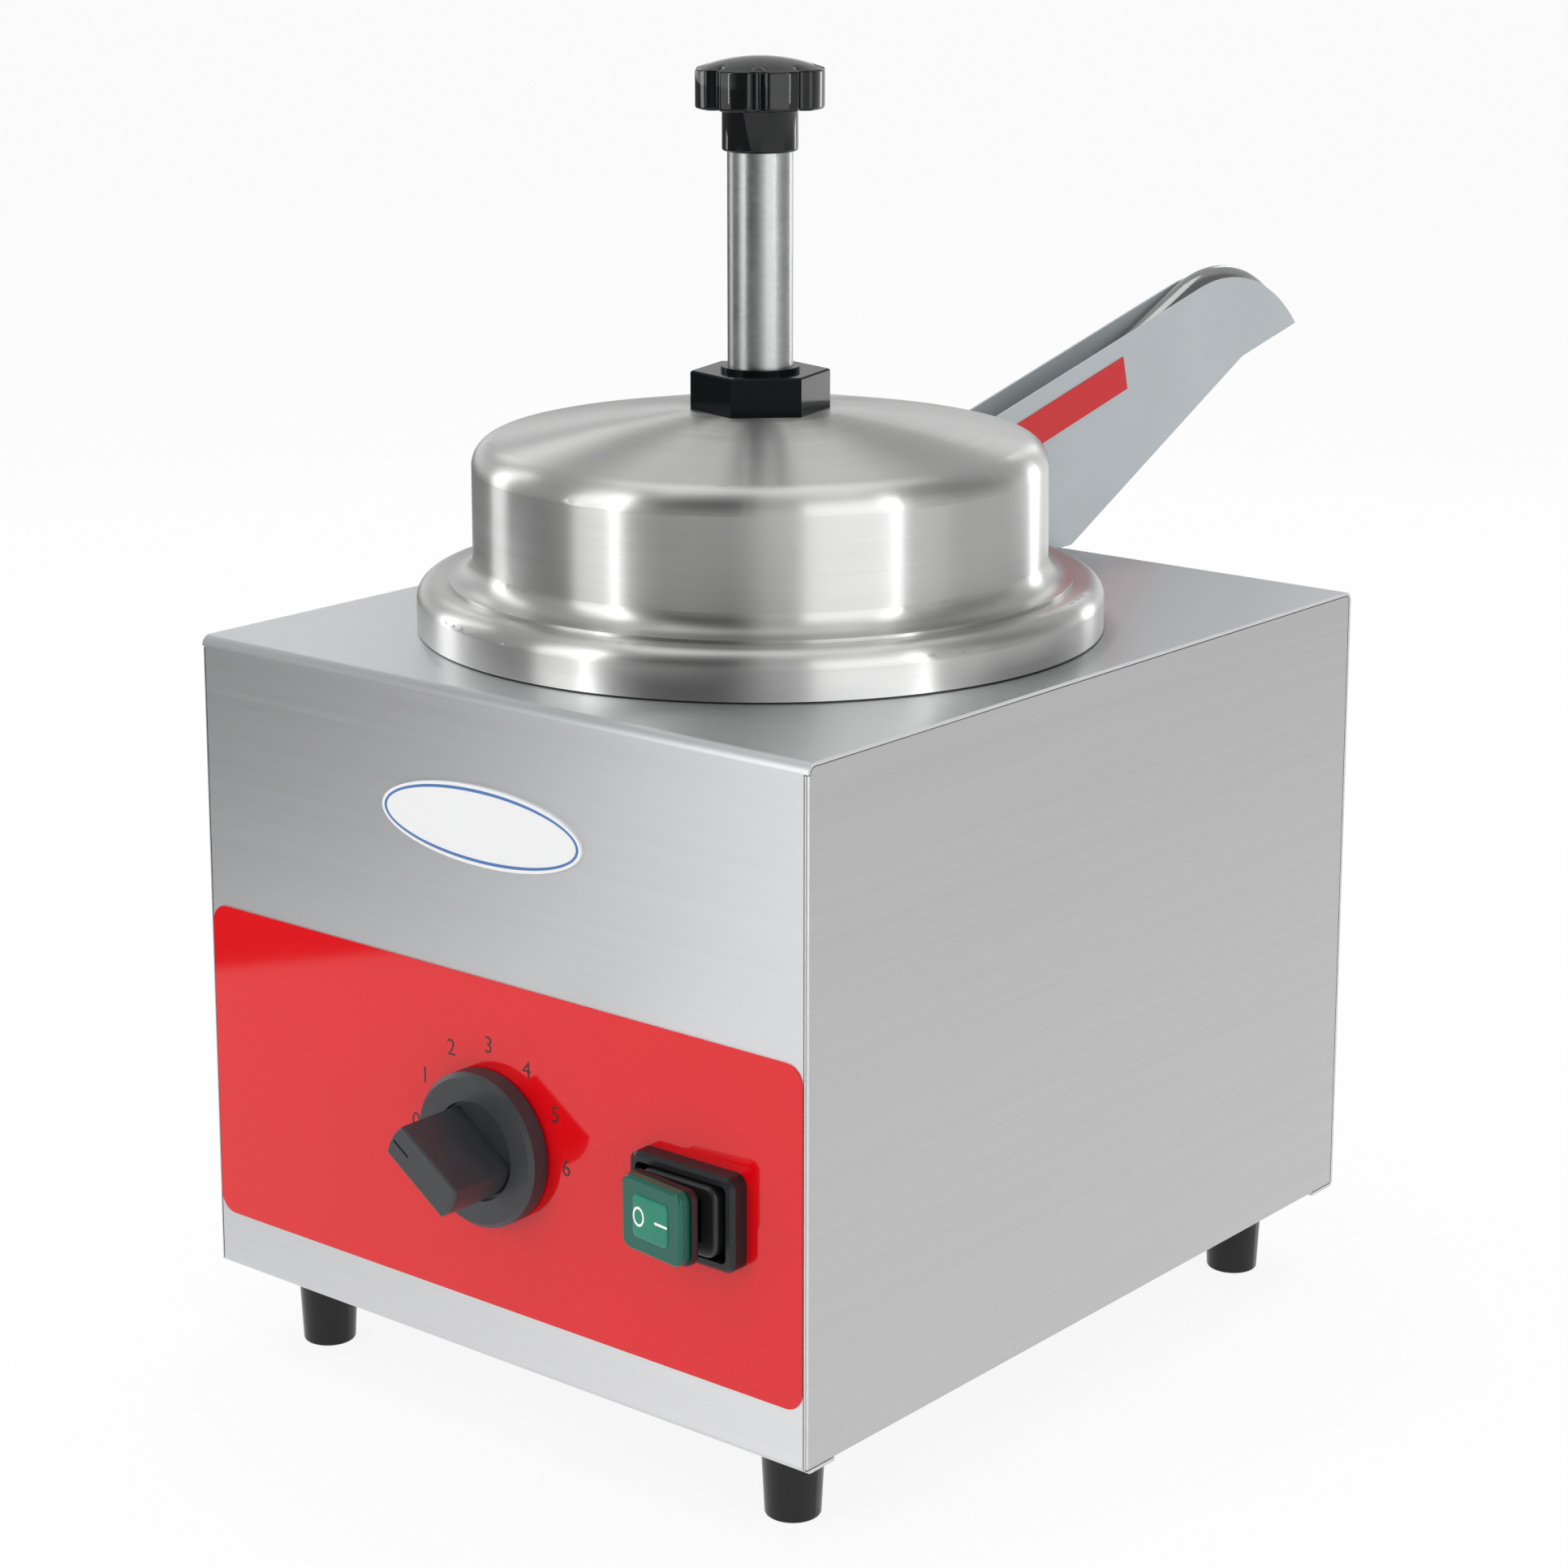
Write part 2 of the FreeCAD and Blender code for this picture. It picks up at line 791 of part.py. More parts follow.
def plate_screws():
    """Screws from below that hold the bottom plate on the return flanges."""
    return group([vertical_screw(x, y, 0, plate_screw_radius, plate_screw_head_radius,
                                 plate_screw_head_height, plate_screw_reach)
                  for x, y in plate_screw_places()])


def control_overlay():
    """Red film on the lower front, cut out for the thermostat and the switch."""
    middle = (0, overlay_bottom + overlay_height / 2)
    film = front_slab(middle, overlay_width, overlay_height, overlay_corner, 0, overlay_thickness)
    return film.cut([front_hole(0, knob_height, thermostat_neck_radius + shaft_hole_clearance),
                     switch_opening(seam_gap)])


def badge_plate():
    """Blank oval badge above the overlay."""
    middle = V(-badge_left_of_middle, front_y, housing_height - badge_below_top)
    oval = Part.Ellipse(middle + RIGHT * (badge_width / 2), middle + UP * (badge_height / 2), middle)
    return Part.Face(Part.Wire(oval.toShape())).extrude(FRONT * badge_thickness)


# Water well

def well_collar():
    """Spun collar round the well's mouth: outer wall, rounded top, and a ledge for the jar."""
    path = [(collar_radius, housing_height + gasket_thickness), (collar_radius, collar_top),
            (collar_mouth_radius, collar_top), (collar_mouth_radius, ledge_top),
            (ledge_inner_radius, ledge_top)]
    return lathe(sheet_face(path, [collar_shoulder, collar_mouth_edge, 0], sheet, beside_well))


def collar_gasket():
    """Flat seal between the collar's foot and the housing top."""
    low = V(0, well_y, housing_height)
    return sleeve(collar_radius - fit_gap, collar_radius - gasket_width, low, low + UP * gasket_thickness)


def bulb_place():
    """Axis of the thermostat's bulb, beside the vessel's wall."""
    reach = vessel_outer_radius + pocket_wall / 2 + bulb_radius + fit_gap
    step = along(bulb_direction)
    return V(reach * step[0], well_y + reach * step[1], bulb_bottom)


def well_vessel():
    """Drawn water vessel under the collar's ledge, with the bulb's pocket welded to its wall."""
    path = [(vessel_outer_radius + vessel_flange_width, vessel_top), (vessel_radius, vessel_top),
            (vessel_radius, vessel_floor_height), (0, vessel_floor_height)]
    vessel = lathe(sheet_face(path, [vessel_wall, vessel_floor_bend], vessel_wall, beside_well))
    low = bulb_place() + UP * ((bulb_length - pocket_length) / 2)
    pocket = rod(bulb_radius + fit_gap + pocket_wall, low, low + UP * pocket_length)
    bore = hole(bulb_radius + fit_gap, low, low + UP * pocket_length)
    inside = rod(vessel_outer_radius - vessel_wall / 2, V(0, well_y, 0), V(0, well_y, housing_height))
    return one([vessel, pocket.cut(inside)]).cut(bore)


def insulation_jacket():
    """Mineral wool sleeve round the vessel, above the thermostat."""
    low = V(0, well_y, jacket_bottom)
    high = V(0, well_y, housing_height - sheet - jacket_top_gap)
    inner = vessel_outer_radius + fit_gap
    return sleeve(inner + jacket_thickness, inner, low, high)


# Heater under the well

def element_pin_front():
    """Distance along Y of the front ends of the element's pins."""
    return inner_front_y + element_front_gap


def heating_element():
    """Sheathed element bent in a rounded loop, its two cold ends led out to the front."""
    leg = element_leg_spacing / 2
    reach = element_reach
    end = element_pin_front() + element_pin_length - well_y
    plan = [(-leg, end), (-leg, -reach), (-reach, -reach), (-reach, reach),
            (reach, reach), (reach, -reach), (leg, -reach), (leg, end)]
    points = [V(x, well_y + y, element_z) for x, y in plan]
    shapes = [pipe(points, [element_bend] * (len(points) - 2), element_radius)]
    for end_point in (points[0], points[-1]):
        shapes.append(rod(element_pin_radius, end_point, end_point + FRONT * element_pin_length))
    return one(shapes)


def stud_places():
    """Plan positions of the studs welded under the vessel."""
    places = []
    for index in range(stud_count):
        step = along(QUARTER_TURN + index * FULL_TURN / stud_count)
        places.append((stud_circle_radius * step[0], well_y + stud_circle_radius * step[1]))
    return places


def clamp_plate():
    """Round plate that presses the element against the vessel's floor."""
    low = V(0, well_y, clamp_plate_bottom)
    high = V(0, well_y, clamp_plate_top)
    cuts = [hole(stud_radius + fit_gap, V(x, y, low.z), V(x, y, high.z)) for x, y in stud_places()]
    return rod(element_reach + element_radius + clamp_plate_margin, low, high).cut(cuts)


def clamp_fasteners():
    """Weld studs under the vessel and the nuts that hold the clamp plate."""
    shapes = []
    for x, y in stud_places():
        shapes.append(rod(stud_radius, V(x, y, vessel_underside), V(x, y, vessel_underside - stud_length)))
        low = V(x, y, clamp_plate_bottom - clamp_nut_height)
        high = V(x, y, clamp_plate_bottom)
        shapes.append(hexagon(clamp_nut_flats, low, high).cut(hole(stud_radius + fit_gap, low, high)))
    return group(shapes)


def tab(start):
    """Flat terminal that stands out along Y from a start point."""
    low = V(start.x - tab_width / 2, start.y, start.z - tab_thickness / 2)
    return block(low, low + V(tab_width, tab_length, tab_thickness))


def cutout_tab_places():
    """Front ends of the two terminals of the high-limit cut-out."""
    y = well_y - cutout_radius - tab_length
    z = clamp_plate_bottom - cutout_height / 2
    return [V(x, y, z) for x in (-cutout_tab_side, cutout_tab_side)]


def high_limit_cutout():
    """Round thermal cut-out pressed to the clamp plate, with two terminals to the front."""
    high = V(0, well_y, clamp_plate_bottom)
    body = rod(cutout_radius, high - UP * cutout_height, high)
    tabs = []
    for place in cutout_tab_places():
        low = V(place.x - tab_width / 2, place.y, place.z - tab_thickness / 2)
        tabs.append(block(low, low + V(tab_width, tab_length + cutout_radius / 2, tab_thickness)))
    return one([body, *tabs])


# Thermostat and its knob

def thermostat_back():
    """Distance along Y of the thermostat body's rear face."""
    return inner_front_y + thermostat_depth


def thermostat_tab_places():
    """Rear faces' starting points of the thermostat's two terminals."""
    z = knob_height + thermostat_tab_height
    return [V(x, thermostat_back(), z) for x in (0, thermostat_tab_right)]


def thermostat_body():
    """Body behind the front sheet, with a neck for the shaft and two terminals."""
    half = thermostat_width / 2
    tall = thermostat_tall / 2
    low = V(-half, inner_front_y, knob_height - tall)
    body = block(low, V(half, thermostat_back(), knob_height + tall))
    face = V(0, inner_front_y, knob_height)
    neck = rod(thermostat_neck_radius, face, face + FRONT * (sheet + overlay_thickness))
    whole = one([body, neck, *[tab(place) for place in thermostat_tab_places()]])
    shaft_end = face + BACK * (shaft_in_body + rest_gap)
    cuts = [rod(shaft_radius + fit_gap, V(0, front_y - overrun, knob_height), shaft_end)]
    screw_end = BACK * (thermostat_screw_reach + rest_gap)
    for start in thermostat_screw_places():
        cuts.append(rod(thermostat_screw_radius + fit_gap, start, start + screw_end))
    return whole.cut(cuts)


def thermostat_screws():
    """Two flat-headed screws that hold the thermostat to the front sheet."""
    shapes = []
    for start in thermostat_screw_places():
        shank = rod(thermostat_screw_radius, start, start + BACK * thermostat_screw_reach)
        shapes.append(one([countersink(start, 0), shank]))
    return group(shapes)


def thermostat_bulb():
    """Sensing bulb in the pocket on the vessel's wall."""
    return rod(bulb_radius, bulb_place(), bulb_place() + UP * bulb_length)


def capillary_tube():
    """Thin tube from the thermostat's rear face to the bulb's lower end."""
    start = V(-capillary_left, thermostat_back(), knob_height - capillary_drop)
    bulb = bulb_place()
    turn = start + BACK * lead_turn_y
    low = bulb.z - capillary_rise
    points = [start, turn, V(turn.x, turn.y, low), V(bulb.x, turn.y, low), V(bulb.x, bulb.y, low), bulb]
    return lead(points, capillary_radius)


def shaft_form(gap, back, front):
    """Round shaft with a flat on its front stretch, between two distances off the panel."""
    round_bar = rod(shaft_radius + gap, V(0, front_y - back, knob_height), V(0, front_y - front, knob_height))
    flat_z = knob_height + shaft_radius - shaft_flat_depth + gap
    low = V(-shaft_radius - overrun, front_y - front - overrun, flat_z)
    flat = block(low, V(shaft_radius + overrun, front_y - knob_panel_gap, flat_z + shaft_radius))
    return round_bar.cut(flat)


def thermostat_shaft():
    """Control shaft that turns in the thermostat's neck."""
    shaft = shaft_form(0, -sheet - shaft_in_body, shaft_in_knob)
    shaft.rotate(V(0, front_y, knob_height), FRONT, indicator_turn)
    return shaft


def thermostat_knob():
    """Round knob with a bar grip in a dished recess, its slot at the scale's setting."""
    centre = V(0, front_y, knob_height)
    rim = centre + FRONT * (knob_disc_front - knob_rim_chamfer)
    disc = one([rod(knob_radius, centre + FRONT * knob_panel_gap, rim),
                Part.makeCone(knob_radius, knob_radius - knob_rim_chamfer, knob_rim_chamfer, rim, FRONT)])
    floor = knob_disc_front - knob_recess_depth
    recess_end = centre + FRONT * (knob_disc_front + overrun)
    disc = disc.cut(rod(knob_recess_radius, centre + FRONT * floor, recess_end))
    middle = (0, knob_height)
    bar = front_slab(middle, 2 * knob_recess_radius, grip_width, 0, floor, grip_front)
    bar = bar.common(rod(grip_end_radius, centre, centre + FRONT * (grip_front + overrun)))
    crest = [edge for edge in bar.Edges if edge.BoundBox.YMax < front_y - grip_front + fit_gap]
    bar = bar.makeFillet(grip_edge, crest)
    start = grip_end_radius - indicator_end_margin - indicator_length
    slot = block(V(start, front_y - grip_front - overrun, knob_height - indicator_width / 2),
                 V(start + indicator_length, front_y - grip_front + indicator_depth,
                   knob_height + indicator_width / 2))
    bar = bar.cut(slot)
    knob = one([disc, bar]).cut(shaft_form(fit_gap, -overrun, shaft_in_knob + rest_gap))
    knob.rotate(centre, FRONT, indicator_turn)
    return knob


# Power switch

def switch_frame():
    """Panel frame of the switch: a rim with a floor that the body passes through."""
    frame = front_slab(switch_middle, switch_frame_width, switch_frame_height, switch_frame_corner,
                       overlay_thickness, switch_frame_depth)
    face = [edge for edge in frame.Edges if edge.BoundBox.YMax < front_y - switch_frame_depth + fit_gap]
    frame = frame.makeChamfer(switch_frame_chamfer, face)
    hollow = front_slab(switch_middle, switch_frame_width - 2 * switch_frame_rim,
                        switch_frame_height - 2 * switch_frame_rim, switch_frame_corner / 2,
                        switch_frame_floor, switch_frame_depth + overrun)
    return frame.cut([hollow, switch_opening(fit_gap)])


def switch_tab_places():
    """Starting points of the switch's two terminals."""
    y = front_y - switch_frame_floor + switch_body_depth
    step = switch_tab_spacing / 2
    return [V(switch_right_of_middle + x, y, switch_height) for x in (-step, step)]


def switch_body():
    """Body behind the panel with the rocker's pocket, its pivot pin and two terminals."""
    body = front_slab(switch_middle, switch_body_width, switch_body_height, fit_gap,
                      switch_frame_floor - switch_body_depth, switch_frame_floor)
    pocket = front_slab(switch_middle, rocker_stem_width + 2 * rocker_pocket_gap,
                        rocker_stem_height + rocker_pocket_gap, fit_gap,
                        rocker_stem_back - rocker_pocket_gap, switch_frame_floor + overrun)
    pivot = rocker_pivot()
    half = rocker_stem_height / 2 + rocker_pocket_gap
    pin = rod(rocker_pin_radius, pivot - UP * half, pivot + UP * half)
    return one([body.cut(pocket), pin, *[tab(place) for place in switch_tab_places()]])


def switch_boot():
    """Rubber fold between the frame's floor and the moving cap."""
    fold = front_slab(switch_middle, boot_fold_width, boot_fold_height, boot_fold_corner,
                      switch_frame_floor, boot_fold_front)
    face = [edge for edge in fold.Edges if edge.BoundBox.YMax < front_y - boot_fold_front + fit_gap]
    fold = fold.makeFillet(boot_fold_edge, face)
    mouth = front_slab(switch_middle, boot_mouth_width, boot_mouth_height, fit_gap,
                       switch_frame_floor - overrun, boot_fold_front + overrun)
    return fold.cut(mouth)


def rocker_pivot():
    """Middle of the rocker's pivot pin."""
    return V(switch_right_of_middle, front_y - rocker_pivot_front, switch_height)


def rocker_lever():
    """Stem on the pivot pin and the boot's lip under the cap, at the off tilt."""
    stem = front_slab(switch_middle, rocker_stem_width, rocker_stem_height, fit_gap,
                      rocker_stem_back, boot_lip_back)
    lip = front_slab(switch_middle, boot_lip_width, boot_lip_height, cap_corner, boot_lip_back, cap_back)
    rim = [edge for edge in lip.Edges if edge.BoundBox.YMin > front_y - boot_lip_back - fit_gap]
    lip = lip.makeFillet(boot_lip_edge, rim)
    pivot = rocker_pivot()
    bore = hole(rocker_pin_radius + fit_gap, pivot - UP * rocker_stem_height, pivot + UP * rocker_stem_height)
    lever = one([stem, lip]).cut(bore)
    lever.rotate(pivot, UP, -rocker_tilt)
    return lever


def rocker_cap():
    """Cap of the rocker, at the off tilt."""
    cap = front_slab(switch_middle, cap_width, cap_height, cap_corner, cap_back, cap_front)
    face = [edge for edge in cap.Edges if edge.BoundBox.YMax < front_y - cap_front + fit_gap]
    cap = cap.makeFillet(cap_edge, face)
    cap.rotate(rocker_pivot(), UP, -rocker_tilt)
    return cap


# Supply entry

def pole_place(index, side=-1):
    """Middle of a pole's opening on the block's front or rear face."""
    pitch = block_length / block_pole_count
    x = block_right_of_middle + (index - (block_pole_count - 1) / 2) * pitch
    return V(x, back_y - block_from_back + side * block_width / 2, plate_top + block_height / 2)


def terminal_block():
    """Supply terminals on the bottom plate."""
    low = V(block_right_of_middle - block_length / 2, pole_place(0).y, plate_top)
    body = block(low, low + V(block_length, block_width, block_height))
    cuts = []
    for index in range(block_pole_count):
        cuts.append(hole(block_hole_radius, pole_place(index), pole_place(index, 1)))
    for x, y in block_screw_places():
        cuts.append(hole(block_screw_radius + fit_gap, V(x, y, plate_top), V(x, y, plate_top + block_height)))
    return body.cut(cuts)


def block_screws():
    """Screws through the terminal block into the bottom plate."""
    return group([vertical_screw(x, y, plate_top + block_height, block_screw_radius, block_screw_head_radius,
                                 block_screw_head_height, block_height + block_screw_reach, DOWN)
                  for x, y in block_screw_places()])


def cord_gland():
    """Threaded gland through the back sheet, bored for a supply cord."""
    start = V(-gland_left_of_middle, back_y, gland_height)
    hex_end = start + BACK * gland_hex_length
    dome_end = hex_end + BACK * gland_dome_length
    dome = rod(gland_dome_radius, hex_end, dome_end)
    rim = [edge for edge in dome.Edges if edge.BoundBox.YMin > dome_end.y - fit_gap]
    dome = dome.makeFillet(gland_dome_edge, rim)
    inner_end = start - BACK * gland_thread_length
    body = one([rod(gland_thread_radius, inner_end, start), hexagon(gland_hex_flats, start, hex_end), dome])
    return body.cut(hole(gland_bore_radius, inner_end, dome_end))


def gland_nut():
    """Nut inside the back sheet that holds the gland."""
    start = V(-gland_left_of_middle, inner_back_y, gland_height)
    end = start + FRONT * gland_nut_length
    return hexagon(gland_hex_flats, end, start).cut(hole(gland_thread_radius + fit_gap, end, start))


def earth_stud():
    """Earthing bolt through the back sheet and its nut inside."""
    start = V(-earth_left_of_middle, back_y, gland_height)
    bolt = one([hexagon(earth_head_flats, start, start + BACK * earth_head_length),
                rod(earth_radius, start, start + FRONT * earth_length)])
    inner = V(start.x, inner_back_y, start.z)
    end = inner + FRONT * earth_nut_length
    return group([bolt, hexagon(earth_head_flats, end, inner).cut(hole(earth_radius + fit_gap, end, inner))])


# Leads

def switch_leads():
    """Supply lead to the switch, and the lead from the switch to the thermostat."""
    pole = pole_place(block_pole_count - 1)
    left, right = [place + BACK * tab_length for place in switch_tab_places()]
    turn = right + BACK * lead_turn_y
    feed = [pole, pole + FRONT * lead_leave, V(right.x, turn.y, pole.z), turn, right]
    target = thermostat_tab_places()[1] + BACK * tab_length
    link = [left, left + BACK * lead_turn_y, target + BACK * lead_turn_y, target]
    return group([lead(feed), lead(link)])


def element_pin_places():
    """Ends of the element's two connection pins."""
    y = element_pin_front()
    return [V(x, y, element_z) for x in (-element_leg_spacing / 2, element_leg_spacing / 2)]


def heater_leads():
    """Leads from thermostat to cut-out, cut-out to element, and element back to the block."""
    start = thermostat_tab_places()[0] + BACK * tab_length
    turn = start + BACK * lead_turn_y
    cut_left, cut_right = cutout_tab_places()
    first = [start, turn, V(turn.x, turn.y, cut_right.z), cut_right + FRONT * lead_leave, cut_right]
    pin_left, pin_right = element_pin_places()
    front_left = pin_left + FRONT * lead_turn_y
    under_left = V(front_left.x, front_left.y, cut_left.z - lead_step)
    second = [cut_left, cut_left + FRONT * lead_leave, V(pin_left.x, well_y - element_reach, under_left.z),
              under_left, front_left, pin_left]
    pole = pole_place(0)
    front_right = pin_right + FRONT * lead_turn_y
    third = [pin_right, front_right, V(front_right.x, front_right.y, lead_floor),
             V(pole.x, pin_right.y + lead_leave, lead_floor), pole + FRONT * lead_leave, pole]
    return group([lead(first), lead(second), lead(third)])


def earth_lead():
    """Lead from the middle pole to the earth stud."""
    pole = pole_place(1)
    stud = V(-earth_left_of_middle, back_y - earth_length, gland_height)
    away = pole + FRONT * lead_leave
    above = V(away.x, away.y, stud.z)
    return lead([pole, away, above, V(stud.x, away.y, stud.z), stud])


def strip_end():
    """Lower end of the spout heater, in the middle of its thickness."""
    rise = along(shroud_web_slope)
    lift = shroud_sheet + strip_thickness / 2
    return V(0, shroud_heel_y + rise[0] * strip_start - rise[1] * lift,
             housing_height + rise[1] * strip_start + rise[0] * lift)


def spout_heater_lead():
    """Lead of the spout heater, down through the housing top to the terminal block."""
    start = strip_end()
    rise = along(shroud_web_slope)
    hole_y = shroud_front_y + lead_hole_inset
    first = start - V(0, rise[0], rise[1]) * strip_lead_run
    pole = pole_place(0, 1)
    beside_pole = pole + BACK * lead_turn_y
    points = [start, first, V(0, hole_y, first.z), V(0, hole_y, gland_height), beside_pole, pole]
    return lead(points, spout_lead_radius)


# Food jar

def food_jar():
    """Deep-drawn jar whose rim hangs on the collar's ledge."""
    top = ledge_top + jar_wall
    path = [(collar_mouth_radius - jar_rim_side_gap, top), (jar_radius, top),
            (jar_radius, jar_floor), (0, jar_floor)]
    return lathe(sheet_face(path, [jar_rim_bend, jar_floor_bend], jar_wall, beside_well))


# Pump lid

def spout_tangent():
    """Where the tube's second run meets the spout's bend, in side view."""
    rise = along(spout_slope)
    return spout_centre[0] - spout_bend * rise[1], spout_centre[1] + spout_bend * rise[0]


def tube_knee():
    """Corner between the tube's first run, out of the lid, and its steeper second run."""
    tangent = spout_tangent()
    rise = along(spout_slope)
    return tube_knee_y, tangent[1] + (tube_knee_y - tangent[0]) * rise[1] / rise[0]


def tube_line(y):
    """Height of the discharge tube's first run at a distance along Y."""
    knee = tube_knee()
    rise = along(tube_slope)
    return knee[1] + (y - knee[0]) * rise[1] / rise[0]


def lid_shell():
    """Spun lid: flange, upright wall, rounded shoulder and a low cone with a flat pad."""
    foot = collar_top + lid_sheet
    shoulder = collar_top + lid_shoulder_height
    path = [(lid_flange_radius, foot), (lid_radius, foot), (lid_radius, shoulder),
            (lid_break_radius, shoulder + lid_break_rise), (lid_pad_radius, lid_top),
            (head_neck_radius + fit_gap, lid_top)]
    bends = [lid_flare, lid_shoulder, lid_break_bend, lid_pad_bend]
    shell = lathe(sheet_face(path, bends, lid_sheet, beside_well))
    start, end = tube_wall_span()
    return shell.cut(hole(tube_radius + grommet_wall + fit_gap, start, end))


def tube_wall_span():
    """Points on the tube's axis either side of the lid's rear wall."""
    y = well_y + lid_radius - lid_sheet / 2
    rise = along(tube_slope)
    step = V(0, rise[0], rise[1]) * (grommet_length / 2)
    middle = V(0, y, tube_line(y))
    return middle - step, middle + step


def tube_grommet():
    """Rubber ring round the tube where it leaves the lid."""
    return sleeve(tube_radius + grommet_wall, tube_radius + fit_gap, *tube_wall_span())


def cylinder_head():
    """Threaded head of the pump: spigot in the cylinder, flange under the lid, neck through it."""
    low = V(0, well_y, head_bottom)
    high = V(0, well_y, lid_top + head_neck_height)
    flange = rod(head_flange_radius, V(0, well_y, head_flange_bottom), V(0, well_y, head_flange_top))
    return one([rod(head_neck_radius, low, high), flange]).cut(hole(head_bore_radius, low, high))


def lid_seal():
    """Flat ring between the head's flange and the lid."""
    low = V(0, well_y, head_flange_top)
    return sleeve(head_flange_radius, head_neck_radius + fit_gap, low, low + UP * lid_seal_thickness)


def lid_nut():
    """Hexagonal nut that clamps the lid on the pump's neck."""
    low = V(0, well_y, lid_top)
    high = V(0, well_y, nut_top)
    nut = hexagon(nut_flats, low, high, nut_turn)
    crest = [edge for edge in nut.Edges if edge.BoundBox.ZMin > nut_top - fit_gap]
    nut = nut.makeChamfer(nut_edge, crest)
    return nut.cut([rod(head_neck_radius + fit_gap, low - UP * overrun, high - UP * nut_web),
                    hole(head_bore_radius, low, high)])


def guide_bush():
    """Bush in the head that guides the plunger and stands a little out of the nut."""
    low = V(0, well_y, head_bottom)
    return sleeve(bush_radius, plunger_radius + fit_gap, low, V(0, well_y, nut_top + bush_stand_out))


def pump_cylinder():
    """Pump barrel from the head down to the valve body."""
    low = V(0, well_y, cylinder_bottom)
    return sleeve(cylinder_radius, cylinder_bore_radius, low, V(0, well_y, head_flange_bottom))


def valve_body():
    """Block at the barrel's foot: barrel socket, ball chamber, inlet, and the tube's socket."""
    bottom = V(0, well_y, valve_bottom)
    socket_top = V(0, well_y, cylinder_bottom + valve_socket_depth)
    arm_half = valve_arm_width / 2
    arm = block(V(-arm_half, well_y, valve_bottom), V(arm_half, riser_y, valve_bottom + valve_arm_height))
    riser = V(0, riser_y, valve_bottom)
    boss_top = riser + UP * valve_boss_height
    body = one([rod(valve_radius, bottom, socket_top), arm, rod(arm_half, riser, boss_top)])
    chamber_floor = V(0, well_y, cylinder_bottom - valve_chamber_depth)
    passage_z = cylinder_bottom - valve_chamber_depth / 2
    cuts = [rod(cylinder_radius + fit_gap, V(0, well_y, cylinder_bottom), socket_top + UP * overrun),
            rod(valve_chamber_radius, chamber_floor, socket_top),
            rod(valve_inlet_radius, bottom - UP * overrun, chamber_floor),
            rod(valve_passage_radius, V(0, well_y, passage_z), V(0, riser_y, passage_z)),
            rod(tube_radius - tube_wall, V(0, riser_y, passage_z - valve_passage_radius), boss_top),
            rod(tube_radius + fit_gap, boss_top - UP * tube_socket_depth, boss_top + UP * overrun)]
    return body.cut(cuts)


def inlet_ball():
    """Check ball that rests on the inlet's edge."""
    lift = math.sqrt(valve_ball_radius ** 2 - valve_inlet_radius ** 2) + rest_gap
    return Part.makeSphere(valve_ball_radius, V(0, well_y, cylinder_bottom - valve_chamber_depth + lift))


def coupling_nut():
    """Nut round the tube on top of the valve body's boss."""
    low = V(0, riser_y, valve_bottom + valve_boss_height)
    high = low + UP * coupling_height
    return hexagon(coupling_flats, low, high).cut(hole(tube_radius + fit_gap, low, high))


def discharge_tube():
    """Tube from the valve body up beside the barrel, out of the lid and over the shroud's hook."""
    low = V(0, riser_y, valve_bottom + valve_boss_height - tube_socket_depth)
    elbow = V(0, riser_y, tube_line(riser_y))
    knee = V(0, *tube_knee())
    tangent = V(0, *spout_tangent())
    rise = along(spout_slope)
    drop = along(-spout_end_turn)
    reach = spout_bend * math.tan(math.radians((spout_slope + spout_end_turn) / 2))
    top = tangent + V(0, rise[0], rise[1]) * reach
    end = top + V(0, drop[0], drop[1]) * reach
    points = [low, elbow, knee, top, end]
    bends = [riser_bend, tube_knee_bend, spout_bend]
    return pipe(points, bends, tube_radius).cut(pipe(points, bends, tube_radius - tube_wall))


def return_spring():
    """Coil spring in the barrel under the piston, as quarter-turn arcs."""
    start_z = cylinder_bottom + spring_wire_radius + spring_end_gap
    rise = piston_bottom - spring_wire_radius - spring_end_gap - start_z
    steps = spring_turns * FULL_TURN // QUARTER_TURN

    def wire_point(step):
        turn = along(step * QUARTER_TURN)
        z = start_z + rise * step / steps
        return V(spring_mean_radius * turn[0], well_y + spring_mean_radius * turn[1], z)

    edges = [Part.Arc(wire_point(step), wire_point(step + 0.5), wire_point(step + 1)).toShape()
             for step in range(steps)]
    tangent = edges[0].tangentAt(edges[0].FirstParameter)
    end = Part.Wire(Part.makeCircle(spring_wire_radius, wire_point(0), tangent))
    return Part.Wire(edges).makePipeShell([end], True, False)


# Plunger

def plunger_tube():
    """Polished tube between the piston and the star knob."""
    low = V(0, well_y, piston_top)
    return sleeve(plunger_radius, plunger_radius - plunger_wall, low, V(0, well_y, tube_top))


def seal_heights():
    """Heights of the piston's two seals."""
    return piston_bottom + seal_inset, piston_top - seal_inset


def piston():
    """Piston with two seal grooves and a spigot in the plunger tube."""
    high = V(0, well_y, piston_top)
    body = rod(cylinder_bore_radius - piston_side_gap, V(0, well_y, piston_bottom), high)
    spigot = rod(plunger_radius - plunger_wall - fit_gap, high, high + UP * piston_spigot_length)
    groove_floor = cylinder_bore_radius - seal_side_gap - 2 * seal_radius - fit_gap
    half = seal_radius + fit_gap
    grooves = []
    for z in seal_heights():
        low = V(0, well_y, z - half)
        grooves.append(sleeve(cylinder_bore_radius, groove_floor, low, low + UP * (2 * half)))
    return one([body, spigot]).cut(grooves)


